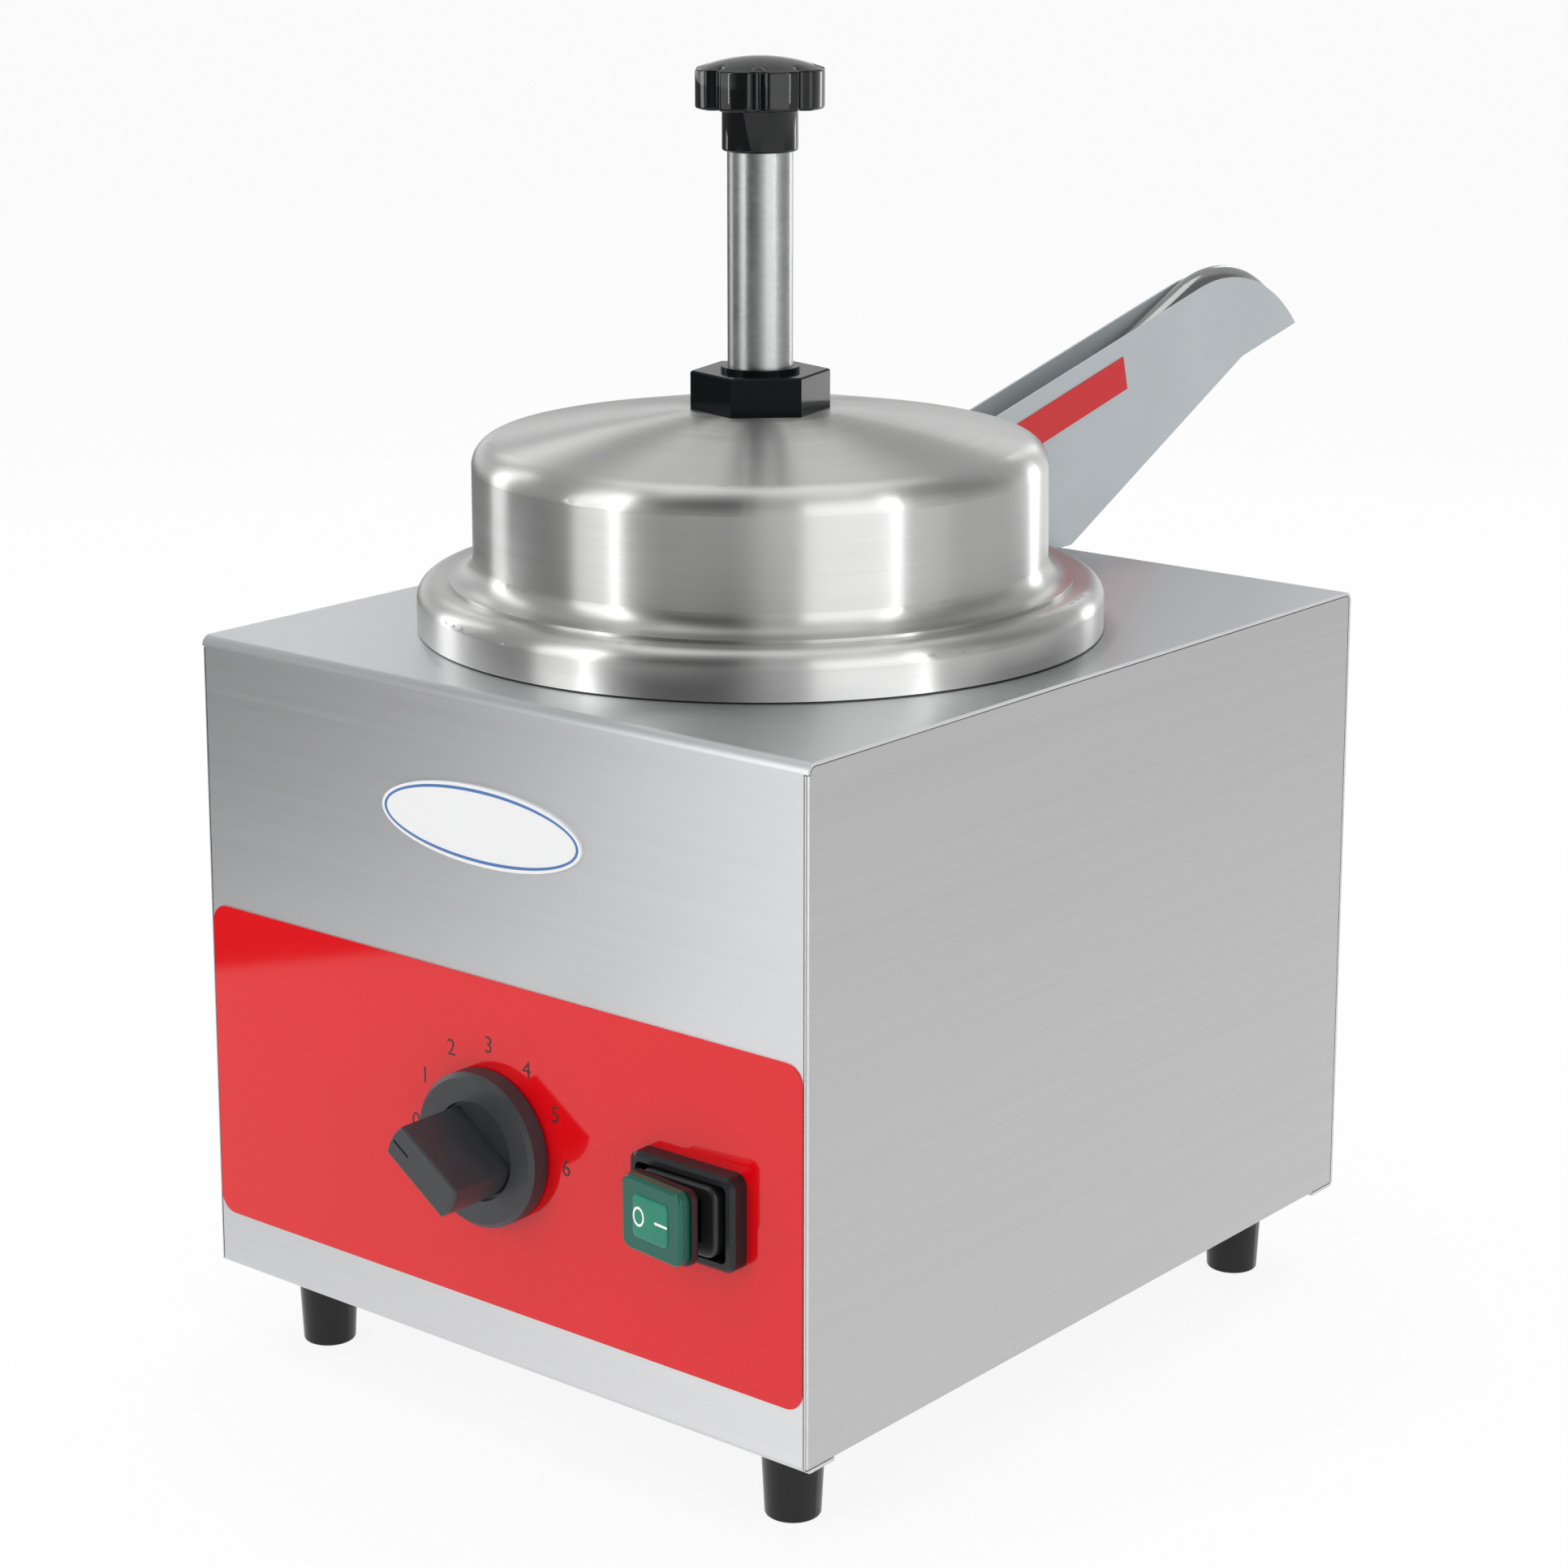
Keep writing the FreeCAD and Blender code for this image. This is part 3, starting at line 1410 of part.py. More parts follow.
def piston_seals():
    """Two rubber rings round the piston."""
    mean_radius = cylinder_bore_radius - seal_side_gap - seal_radius
    return group([Part.makeTorus(mean_radius, seal_radius, V(0, well_y, z), UP) for z in seal_heights()])


def knob_stud():
    """Plug in the plunger's top with a threaded stud for the star knob."""
    top = V(0, well_y, tube_top)
    return one([rod(plunger_radius - plunger_wall - fit_gap, top - UP * plug_length, top),
                rod(stud_thread_radius, top, top + UP * stud_thread_length)])


def star_knob():
    """Lobed knob with a domed top on a round hub that holds the plunger's end."""
    low = V(0, well_y, star_bottom)
    top_z = star_bottom + star_side_height + star_dome_height
    high = V(0, well_y, top_z)
    dome_radius = (star_radius ** 2 + star_dome_height ** 2) / (2 * star_dome_height)
    dome = Part.makeSphere(dome_radius, V(0, well_y, top_z - dome_radius))
    star = rod(star_radius, low, high).common(dome)
    rims = [edge for edge in star.Edges if edge.Length > 2 * math.pi * star_radius - star_edge]
    star = star.makeFillet(star_edge, rims)
    flutes = []
    for index in range(star_lobes):
        step = along(star_flute_turn + index * FULL_TURN / star_lobes)
        place = V(star_flute_centre * step[0], well_y + star_flute_centre * step[1], 0)
        flutes.append(hole(star_flute_radius, place + UP * star_bottom, place + UP * top_z))
    star = star.cut(flutes)
    foot = V(0, well_y, hub_bottom)
    chamfer_top = foot + UP * hub_chamfer
    hub = [Part.makeCone(hub_radius - hub_chamfer, hub_radius, hub_chamfer, foot, UP),
           rod(hub_radius, chamfer_top, low)]
    socket = rod(plunger_radius + fit_gap, foot - UP * overrun, foot + UP * hub_socket_depth)
    stud_top = V(0, well_y, tube_top + stud_thread_length + rest_gap)
    return one([star, *hub]).cut([socket, rod(stud_thread_radius + fit_gap, foot, stud_top)])


# Shroud

def web_path():
    """Underside of the shroud in side view: flat floor on the housing, then the slanted web."""
    rise = along(shroud_web_slope)
    heel = (shroud_heel_y, housing_height)
    end = (heel[0] + shroud_web_length * rise[0], heel[1] + shroud_web_length * rise[1])
    return [(shroud_front_y, housing_height), heel, end]


def hook_point(angle):
    """Point of the hook's round back, at an angle from straight up towards the rear."""
    up, back = along(angle)
    return hook_centre[0] + hook_radius * back, hook_centre[1] + hook_radius * up


def spout_shroud():
    """Open-topped channel: two hooked side plates joined by the floor and the slanted web."""
    front, heel, web_end = web_path()
    shoulder = hook_point(-shroud_top_slope)
    tip = hook_point(hook_tip_turn)
    crown = hook_point((hook_tip_turn - shroud_top_slope) / 2)
    slope = along(shroud_top_slope)
    front_top = (shroud_front_y, shoulder[1] - (shoulder[0] - shroud_front_y) * slope[1] / slope[0])
    corners = [shoulder, front_top, front, heel, web_end, tip]
    plates = []
    for x in (-shroud_width / 2, shroud_width / 2 - shroud_sheet):
        place = in_section(x)
        edges = chain([place(p) for p in corners], [shroud_front_corner, 0, shroud_web_bend, shroud_tip_bend])
        edges.append(Part.Arc(place(tip), place(crown), place(shoulder)).toShape())
        plates.append(Part.Face(Part.Wire(Part.__sortEdges__(edges))).extrude(RIGHT * shroud_sheet))
    share = 1 - shroud_tip_bend / shroud_web_length
    stop = (heel[0] + (web_end[0] - heel[0]) * share, heel[1] + (web_end[1] - heel[1]) * share)
    web = sheet_face([front, heel, stop], [shroud_web_bend], shroud_sheet, in_section(-shroud_width / 2))
    whole = one([*plates, web.extrude(RIGHT * shroud_width)])
    cuts = [lead_hole()]
    for y in shroud_screw_places():
        spot = V(0, y, housing_height)
        cuts.append(hole(shroud_screw_radius + fit_gap, spot, spot + UP * shroud_sheet))
    return whole.cut(cuts)


def shroud_fasteners():
    """Screws through the shroud's floor and the housing top, with nuts inside."""
    shapes = []
    for y in shroud_screw_places():
        seat = housing_height + shroud_sheet
        under = housing_height - sheet
        reach = shroud_sheet + sheet + shroud_screw_reach
        shapes.append(vertical_screw(0, y, seat, shroud_screw_radius, shroud_screw_head_radius,
                                     shroud_screw_head_height, reach, DOWN))
        low = V(0, y, under - shroud_nut_height)
        high = V(0, y, under)
        bore = hole(shroud_screw_radius + fit_gap, low, high)
        shapes.append(hexagon(shroud_nut_flats, low, high).cut(bore))
    return group(shapes)


def spout_heater():
    """Flat heater on the inner face of the slanted web."""
    rise = along(shroud_web_slope)
    start = (shroud_heel_y + rise[0] * strip_start - rise[1] * shroud_sheet,
             housing_height + rise[1] * strip_start + rise[0] * shroud_sheet)
    end = (start[0] + rise[0] * strip_length, start[1] + rise[1] * strip_length)
    face = sheet_face([start, end], [], strip_thickness, in_section(-strip_width / 2))
    return face.extrude(RIGHT * strip_width)


def shroud_label():
    """Plain red strip on the shroud's right plate, along its top edge."""
    shoulder = hook_point(-shroud_top_slope)
    slope = along(shroud_top_slope)
    end = (shoulder[0] - slope[0] * label_back_end + slope[1] * label_under_top,
           shoulder[1] - slope[1] * label_back_end - slope[0] * label_under_top)
    start = (end[0] - slope[0] * label_length, end[1] - slope[1] * label_length)
    face = sheet_face([end, start], [], label_height, in_section(shroud_width / 2))
    return face.extrude(RIGHT * label_thickness)


PIECES = [
    housing_wrap, bottom_plate, feet, foot_fasteners, plate_screws, control_overlay, badge_plate,
    well_collar, collar_gasket, well_vessel, insulation_jacket,
    heating_element, clamp_plate, clamp_fasteners, high_limit_cutout,
    thermostat_body, thermostat_screws, thermostat_bulb, capillary_tube, thermostat_shaft, thermostat_knob,
    switch_frame, switch_body, switch_boot, rocker_lever, rocker_cap,
    terminal_block, block_screws, cord_gland, gland_nut, earth_stud,
    switch_leads, heater_leads, earth_lead, spout_heater_lead,
    food_jar, lid_shell, tube_grommet, cylinder_head, lid_seal, lid_nut, guide_bush, pump_cylinder,
    valve_body, inlet_ball, coupling_nut, discharge_tube, return_spring,
    plunger_tube, piston, piston_seals, knob_stud, star_knob,
    spout_shroud, shroud_fasteners, spout_heater, shroud_label,
]


def build():
    """Every piece by name, moved so that the origin is under the middle of the whole."""
    shapes = {piece.__name__: piece() for piece in PIECES}
    right = side_panel()
    shapes["side_panel_right"] = right
    shapes["side_panel_left"] = right.mirror(V(0, 0, 0), RIGHT)
    middle_y = (front_y - grip_front + hook_point(hook_tip_turn)[0]) / 2
    for shape in shapes.values():
        shape.translate(V(0, -middle_y, foot_height))
    return shapes


def main():
    os.makedirs("parts", exist_ok=True)
    for name, shape in build().items():
        shape.exportStep(os.path.join("parts", name + ".step"))
        print(name, len(shape.Solids), "solids", round(shape.Volume), "mm3", "valid", shape.isValid())


main()
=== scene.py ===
import json
import math

import bpy
import numpy as np
from bpy.props import FloatProperty, FloatVectorProperty, IntProperty, PointerProperty
from mathutils import Matrix, Vector


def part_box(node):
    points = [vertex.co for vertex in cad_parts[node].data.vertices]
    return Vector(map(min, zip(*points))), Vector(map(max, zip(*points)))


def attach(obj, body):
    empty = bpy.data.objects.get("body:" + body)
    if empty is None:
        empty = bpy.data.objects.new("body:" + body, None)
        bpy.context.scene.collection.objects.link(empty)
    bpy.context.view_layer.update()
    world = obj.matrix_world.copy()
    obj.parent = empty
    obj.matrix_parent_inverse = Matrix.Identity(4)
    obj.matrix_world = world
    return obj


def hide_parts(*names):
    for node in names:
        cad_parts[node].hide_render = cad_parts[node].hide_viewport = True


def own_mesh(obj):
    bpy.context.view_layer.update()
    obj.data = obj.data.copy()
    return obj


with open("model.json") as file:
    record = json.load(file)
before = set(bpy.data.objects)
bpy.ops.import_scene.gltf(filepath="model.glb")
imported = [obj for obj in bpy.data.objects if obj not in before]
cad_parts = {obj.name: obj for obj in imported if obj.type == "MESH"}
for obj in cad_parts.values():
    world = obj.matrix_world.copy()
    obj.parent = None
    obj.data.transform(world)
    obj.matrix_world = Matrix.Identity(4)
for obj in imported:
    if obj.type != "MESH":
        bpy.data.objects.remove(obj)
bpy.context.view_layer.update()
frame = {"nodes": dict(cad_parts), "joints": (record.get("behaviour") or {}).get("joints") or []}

bl_info = {
    "name": "Hot topping warmer",
    "version": (1, 0, 0),
    "blender": (4, 5, 0),
    "location": "View3D > Sidebar > Warmer",
    "description": "Dresses the packed model of a counter-top warmer for a pourable topping",
    "category": "Object",
}

# Stands a drawing made in X and Y up, to face the front
FRONT_TURN = Matrix(((1, 0, 0), (0, 0, -1), (0, 1, 0)))

# How finely the surfaces are drawn
CORNER_POINTS = 8
RING_POINTS = 48
BADGE_POINTS = 160
COIL_STEPS, WIRE_POINTS = 32, 12
EDGE_POINTS, DOME_POINTS, RIM_POINTS = 6, 16, 480

# Cap window: depth of its skirt in the cap, and as shares of the window's rise, where its rounded
# edge starts, the edge's middle (inset and height) and the least corner
WINDOW_SKIRT = 0.0008
EDGE_START, EDGE_INSET, EDGE_HEIGHT, LEAST_CORNER = 0.5, 0.35, 0.85, 0.25

# Switch marks: the ring's width as a share of its height, and the inset of the bar's face as a
# share of half its line
RING_WIDTH, BAR_INSET = 0.8, 0.6

# Dial numbers: a digit's share of its font's size, the steps of its curves, and the share of the
# print's depth by which its middle stands before the film
DIGIT_SHARE, DIGIT_STEPS, PRINT_STAND = 0.7, 6, 0.9

# Star knob's dome: where it starts and ends, as shares of the way from its edge to its middle
DOME_START, DOME_END = 0.03, 0.98

# Grain: shares of the fine and the broad noise, and the broad one's place against the fine one's
FINE_SHARE, BROAD_SHARE = 0.6, 0.4
BROAD_PLACE = (0.31, 0.17, 0.17)

# Ceiling that metal sees: how far up a direction points (its Z) where it starts and is full
CEILING_START, CEILING_FULL = 0.02, 0.24

# Sides of the room that metal sees greyer: how far each reaches either way of its direction, and
# how much further it fades out, in radians
GREY_SIDES = {"side": (0.24, 0.24), "back": (0.24, 0.22), "front": (0.12, 0.26)}

# Floor: cells along a side, its roughness, and where the pale part has faded out, as shares of the
# table's radius and of the distance to its edge
FLOOR_CELLS, FLOOR_ROUGHNESS = 8, 0.8
TABLE_FADE, EDGE_FADE = 2.2, 1.02

# Camera's sensor in millimetres, and the nearest and furthest things it sees
SENSOR_WIDTH = 36.0
NEAREST, FURTHEST = 0.05, 60.0

# Lamp overhead: its place, the point it is aimed at, and its side
TOP_PLACE, TOP_TARGET, TOP_SIDE = (-0.2, 0.2, 1.9), (0, -0.05, 0.2), 1.6

# Soft lamps round the well: direction in degrees from +X, width, height of foot and top, and how
# bright each looks, where 1 is white
SOFT_BOXES = {
    "left": (-115, 0.64, 0.0, 1.7, 1.7),
    "left_strip": (-107, 0.024, 0.1, 1.5, 19.0),
    "far_left": (-172, 0.34, 0.0, 1.4, 2.2),
    "right": (-16, 1.05, 0.0, 1.5, 1.35),
    "right_strip": (3, 0.03, 0.1, 1.5, 18.0),
    "back_right": (84, 0.28, 0.0, 0.5, 3.4),
    "back_left": (148, 0.34, 0.84, 1.1, 1.4),
    "back": (110, 0.20, 0.5, 1.0, 1.4),
}


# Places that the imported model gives

def joint_row(name):
    """The frame's row of one joint."""
    for joint in frame["joints"]:
        if joint["name"] == name:
            return joint
    raise ValueError("the frame has no joint named " + name)


COLLAR_LOW, COLLAR_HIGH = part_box("well_collar")
WELL = (COLLAR_LOW + COLLAR_HIGH) / 2
KNOB = Vector(joint_row("thermostat_turn")["pos_m"])
ROCKER = Vector(joint_row("switch_rock")["pos_m"])


# Sizes and colours that a user would change

def length(name, description, default):
    """A length in metres."""
    return FloatProperty(name=name, description=description, default=default, unit="LENGTH",
                         precision=5)


def angle(name, description, degrees):
    """An angle, given in degrees."""
    return FloatProperty(name=name, description=description, default=math.radians(degrees),
                         unit="ROTATION")


def amount(name, description, default, top=1.0):
    """A plain number from zero up."""
    return FloatProperty(name=name, description=description, default=default, min=0.0, max=top,
                         precision=4)


def count(name, description, default, least):
    """A whole number."""
    return IntProperty(name=name, description=description, default=default, min=least)


def colour(name, description, default):
    """A linear colour."""
    return FloatVectorProperty(name=name, description=description, default=default, size=3,
                               min=0.0, max=1.0, subtype="COLOR")


class WarmerColours(bpy.types.PropertyGroup):
    """Colours of the finishes."""
    sheet_steel: colour("Sheet steel", "Brushed front, top and back sheet", (0.67, 0.675, 0.685))
    # The side panels are the same steel as the sheet. Their own, slightly darker tint paints the
    # shade on the sides
    side_steel: colour("Side steel", "Brushed side panels", (0.65, 0.65, 0.65))
    spun_steel: colour("Spun steel", "Collar and lid", (0.56, 0.565, 0.555))
    satin_steel: colour("Satin steel", "Spout shroud", (0.47, 0.505, 0.525))
    polished_steel: colour("Polished steel", "Plunger and discharge tube", (0.37, 0.38, 0.375))
    inner_steel: colour("Inner steel", "Plain steel inside, and the jar", (0.40, 0.40, 0.40))
    zinc: colour("Zinc", "Plated screws and nuts", (0.52, 0.53, 0.52))
    sheath: colour("Sheath", "Oxidised heating element", (0.12, 0.11, 0.10))
    copper: colour("Copper", "Bulb and capillary", (0.60, 0.28, 0.16))
    film: colour("Film", "Front control film", (0.68, 0.001, 0.005))
    strip: colour("Strip", "Strip on the shroud", (0.56, 0.010, 0.014))
    badge: colour("Badge", "Blank oval badge", (0.83, 0.835, 0.84))
    badge_line: colour("Badge line", "Line round the badge", (0.06, 0.17, 0.42))
    gloss_black: colour("Gloss black", "Star knob and nut", (0.0045, 0.005, 0.0058))
    matt_black: colour("Matt black", "Thermostat knob and glands", (0.034, 0.036, 0.041))
    frame_black: colour("Frame black", "Switch frame", (0.012, 0.013, 0.015))
    foot_black: colour("Foot black", "Moulded feet and gasket", (0.0055, 0.0055, 0.006))
    rubber_black: colour("Black rubber", "Switch boot", (0.012, 0.012, 0.0125))
    ink: colour("Ink", "Numbers on the film", (0.060, 0.016, 0.016))
    mark_white: colour("Mark white", "Marks on the switch cap", (0.86, 0.88, 0.84))
    cap_rim: colour("Cap rim", "Edge of the switch cap", (0.004, 0.100, 0.068))
    cap_window: colour("Cap window", "Middle of the switch cap", (0.003, 0.205, 0.125))
    moulded_white: colour("Moulded white", "Pump head, valve and terminals", (0.78, 0.78, 0.75))
    phenolic: colour("Phenolic", "Thermostat body and cut-out", (0.075, 0.040, 0.026))
    clear_silicone: colour("Clear silicone", "Seals and grommet", (0.70, 0.70, 0.66))
    red_silicone: colour("Red silicone", "Spout heater", (0.42, 0.055, 0.035))
    wool: colour("Wool", "Insulation", (0.50, 0.46, 0.35))
    sleeve: colour("Sleeve", "Lead insulation", (0.62, 0.61, 0.57))
    floor: colour("Floor", "Floor under the object", (0.94, 0.94, 0.94))


class WarmerSizes(bpy.types.PropertyGroup):
    """Sizes of the pieces made here."""
    number_height: length("Number height", "Height of the dial's numbers", 0.0049)
    number_thinning: length("Number thinning", "Taken off each side of the strokes", 0.00003)
    number_circle: length("Number circle", "Radius that the numbers' middles lie on", 0.0293)
    number_count: count("Numbers", "How many numbers the dial has", 7, 2)
    print_depth: length("Print depth", "Thickness of printed marks", 0.00004)
    cap_reach: length("Cap reach", "From the rocker's axis to the face of its cap", 0.0166)
    cap_tilt: angle("Cap tilt", "Turn of the rocker at rest", -7.5)
    window_width: length("Window width", "Width of the cap's window", 0.0140)
    window_height: length("Window height", "Height of the cap's window", 0.0122)
    window_corner: length("Window corner", "Corner radius of the cap's window", 0.0016)
    window_rise: length("Window rise", "How far the window stands out of the cap", 0.00035)
    mark_ring: length("Ring mark", "Middle radius of the ring mark", 0.00245)
    mark_bar: length("Bar mark", "Length of the bar mark", 0.0052)
    mark_line: length("Mark line", "Line width of both marks", 0.00070)
    mark_spread: length("Mark spread", "From the cap's middle to each mark", 0.0045)
    star_radius: length("Star radius", "Radius over the star knob's lobes", 0.01915)
    star_flute: length("Flute depth", "Depth of the hollows between the lobes", 0.00225)
    star_flute_reach: length("Flute reach", "From a hollow's middle to where it runs out", 0.0034)
    star_hub: length("Star hub", "Radius of the star knob's hub", 0.0112)
    star_hub_height: length("Hub height", "From the hub's foot to the lobes", 0.0125)
    star_side: length("Lobe height", "Height of the lobes' upright sides", 0.0118)
    star_edge: length("Lobe edge", "Radius of the lobes' edges", 0.0009)
    star_lobes: count("Lobes", "Number of lobes of the star knob", 8, 3)
    star_turn: angle("Star turn", "Turn of the first hollow", -7.0)
    spring_wire: length("Spring wire", "Radius of the return spring's wire", 0.0009)
    spring_turns: count("Spring turns", "Turns of the return spring", 15, 1)
    badge_line_width: length("Badge line width", "Width of the line round the badge", 0.0009)
    badge_line_inset: length("Badge line inset", "From the badge's edge to its line", 0.0010)


class StageSettings(bpy.types.PropertyGroup):
    """Camera, lamps and floor."""
    camera_x: length("Camera X", "Place of the camera", 0.68072)
    camera_y: length("Camera Y", "Place of the camera", -0.89022)
    camera_z: length("Camera Z", "Place of the camera", 0.46380)
    camera_turn: angle("Camera turn", "Turn of the view to the left of +Y", 39.488)
    camera_drop: angle("Camera drop", "How far the view looks down", 11.654)
    lens: amount("Lens", "Focal length in millimetres on the sensor's width", 83.514, 500.0)
    shift_x: FloatProperty(name="Shift X", description="Sideways shift of the frame",
                           default=0.0052)
    shift_y: FloatProperty(name="Shift Y", description="Upward shift of the frame", default=-0.15)
    floor_size: length("Floor size", "Side of the floor", 14.0)
    floor_share: amount("Floor glow", "Share of the floor's look that takes no shadow", 0.88)
    room_light: amount("Room light", "Even light of the room on matt surfaces", 0.72)
    dark_side: amount("Dark side", "What metal sees left of the camera", 0.12)
    side_turn: angle("Side turn", "Direction of the dark side, from +X", -75)
    dark_back: amount("Dark back", "What metal sees at the back right", 0.50)
    back_turn: angle("Back turn", "Direction of the back right, from +X", 47)
    dark_front: amount("Dark front", "What metal sees at the front left", 0.80)
    front_turn: angle("Front turn", "Direction of the front left, from +X", -148)
    ceiling: amount("Ceiling", "What metal sees overhead", 0.56)
    table_radius: length("Table radius", "How far metal sees the pale floor go on", 1.0)
    table_edge: length("Table edge", "From the middle to its edge at the front left", 0.554)
    past_edge: amount("Past the edge", "What metal and film see past that edge", 0.05)
    box_distance: length("Lamp distance", "From the well's axis to the soft lamps", 1.6)
    box_brightness: amount("Lamp brightness", "Factor on the soft lamps' brightness", 1.0, 10.0)
    top_power: amount("Top lamp", "Power of the lamp overhead, in watts", 8.0, 100.0)


def warmer_colours():
    """The colours in use."""
    return bpy.context.scene.warmer_colours


def warmer_sizes():
    """The sizes in use."""
    return bpy.context.scene.warmer_sizes


# Surfaces on grids

def new_mesh(name, points, faces, smooth=True):
    """Mesh from lists of points and faces."""
    mesh = bpy.data.meshes.new(name)
    mesh.from_pydata(points, [], faces)
    if smooth:
        mesh.shade_smooth()
    mesh.update()
    return mesh


def ring_faces(rows, columns):
    """Quads of a grid whose rows are closed loops: corner (i, j) joins (i, j+1), (i+1, j+1) and
    (i+1, j), and the last column joins the first."""
    i, j = np.meshgrid(np.arange(rows - 1), np.arange(columns), indexing="ij")
    k = (j + 1) % columns
    quads = np.stack([i * columns + j, i * columns + k,
                      (i + 1) * columns + k, (i + 1) * columns + j], -1)
    return quads.reshape(-1, 4)


def stacked_rings(name, rings):
    """Skin over closed loops of equal count. A fan to each end loop's mean shuts the ends."""
    rows, columns = rings.shape[:2]
    points = np.concatenate([rings.reshape(-1, 3), rings[:1].mean(1), rings[-1:].mean(1)])
    j = np.arange(columns)
    k = (j + 1) % columns
    first = np.stack([k, j, np.full(columns, rows * columns)], -1)
    start = (rows - 1) * columns
    last = np.stack([start + j, start + k, np.full(columns, rows * columns + 1)], -1)
    faces = ring_faces(rows, columns).tolist() + first.tolist() + last.tolist()
    return new_mesh(name, points.tolist(), faces)


def closed_sweep(name, sections):
    """Skin over loops that follow each other round a closed path, so it needs no ends."""
    rows, columns = sections.shape[:2]
    faces = ring_faces(rows + 1, columns) % (rows * columns)
    return new_mesh(name, sections.reshape(-1, 3).tolist(), faces.tolist())


def rounded_rectangle(width, height, corner):
    """Anticlockwise loop, as two rows of places: at turn t a corner's centre plus corner times
    (cos t, sin t)."""
    quarter = np.linspace(0, math.pi / 2, CORNER_POINTS)
    turns = (quarter[None, :] + np.arange(4)[:, None] * math.pi / 2).ravel()
    sign_x = np.repeat([1, -1, -1, 1], CORNER_POINTS)
    sign_y = np.repeat([1, 1, -1, -1], CORNER_POINTS)
    return (sign_x * (width / 2 - corner) + corner * np.cos(turns),
            sign_y * (height / 2 - corner) + corner * np.sin(turns))


def front_points(x, depth, z):
    """Points of a front view at a distance along Y that grows to the rear."""
    return np.stack([x, np.broadcast_to(depth, x.shape), z], -1)


def whole_turn(points):
    """Angles of a full circle in equal steps."""
    return np.linspace(0, 2 * math.pi, points, endpoint=False)


def oval_line(name, centre, wide, tall, depth, points):
    """Line round an ellipse: at turn t each corner of its section stands in the front view at
    centre plus (wide cos t, tall sin t), with wide, tall and depth given corner by corner."""
    turn = whole_turn(points)[:, None]
    x, z = centre[0] + wide * np.cos(turn), centre[1] + tall * np.sin(turn)
    return closed_sweep(name, front_points(x, depth, z))


def new_object(name, data):
    """Object in the scene's collection."""
    made = bpy.data.objects.new(name, data)
    bpy.context.scene.collection.objects.link(made)
    return made


def add_piece(name, mesh, body, material):
    """Object for a finished mesh, on its body and material."""
    piece = new_object(name, mesh)
    mesh.materials.clear()
    mesh.materials.append(material)
    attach(piece, body)
    return piece


def join_meshes(name, meshes):
    """One mesh from several, which are used up."""
    points, faces, passed = [], [], 0
    for mesh in meshes:
        place = np.empty(len(mesh.vertices) * 3, np.float32)
        mesh.vertices.foreach_get("co", place)
        points.append(place.reshape(-1, 3))
        faces += [[index + passed for index in face.vertices] for face in mesh.polygons]
        passed += len(mesh.vertices)
        bpy.data.meshes.remove(mesh)
    return new_mesh(name, np.concatenate(points).tolist(), faces, smooth=False)


# Shader node groups

FINISH_OUTPUTS = ("Shade", "Roughness", "Height")


def node_in(tree, kind, values=None, **settings):
    """Node of a kind with settings and input values, which may be sockets to link from."""
    node = tree.nodes.new(kind)
    for key, value in settings.items():
        setattr(node, key, value)
    for key, value in (values or {}).items():
        if isinstance(value, bpy.types.NodeSocket):
            tree.links.new(value, node.inputs[key])
        else:
            node.inputs[key].default_value = value
    return node


def math_in(tree, operation, first, second=0.0):
    """Output of a Math node."""
    return node_in(tree, "ShaderNodeMath", {0: first, 1: second}, operation=operation).outputs[0]


def vector_in(tree, operation, first, second=(0.0, 0.0, 0.0), output="Vector"):
    """Output of a Vector Math node."""
    node = node_in(tree, "ShaderNodeVectorMath", {0: first, 1: second}, operation=operation)
    return node.outputs[output]


def range_in(tree, value, low, high, to_low, to_high):
    """Value mapped from one range to another, held at the ends."""
    limits = {"From Min": low, "From Max": high, "To Min": to_low, "To Max": to_high}
    return node_in(tree, "ShaderNodeMapRange", {"Value": value, **limits}).outputs["Result"]


def noise_in(tree, place, scale, detail, roughness=0.5):
    """Output of a Noise Texture node."""
    values = {"Vector": place, "Scale": scale, "Detail": detail, "Roughness": roughness}
    return node_in(tree, "ShaderNodeTexNoise", values).outputs["Fac"]


def swing_in(tree, centred, reach, base):
    """Base value, moved by a reach times a noise that lies round zero."""
    return math_in(tree, "ADD", math_in(tree, "MULTIPLY", centred, reach), base)


def level_way(turn):
    """Level direction at an angle from +X."""
    return math.cos(turn), math.sin(turn), 0.0


def start_group(name, outputs, **inputs):
    """Empty node group with value outputs, a Vector input and named inputs with defaults."""
    group = bpy.data.node_groups.new(name, "ShaderNodeTree")
    for key, default in {"Vector": (0.0, 0.0, 0.0), **inputs}.items():
        kind = "NodeSocketVector" if isinstance(default, tuple) else "NodeSocketFloat"
        socket = group.interface.new_socket(key, in_out="INPUT", socket_type=kind)
        socket.default_value = default
    for key in outputs:
        group.interface.new_socket(key, in_out="OUTPUT", socket_type="NodeSocketFloat")
    given = group.nodes.new("NodeGroupInput").outputs
    return group, given, group.nodes.new("NodeGroupOutput").inputs


def close_group(group, close, **values):
    """Links values to a group's outputs."""
    for key, value in values.items():
        group.links.new(value, close[key])
    return group


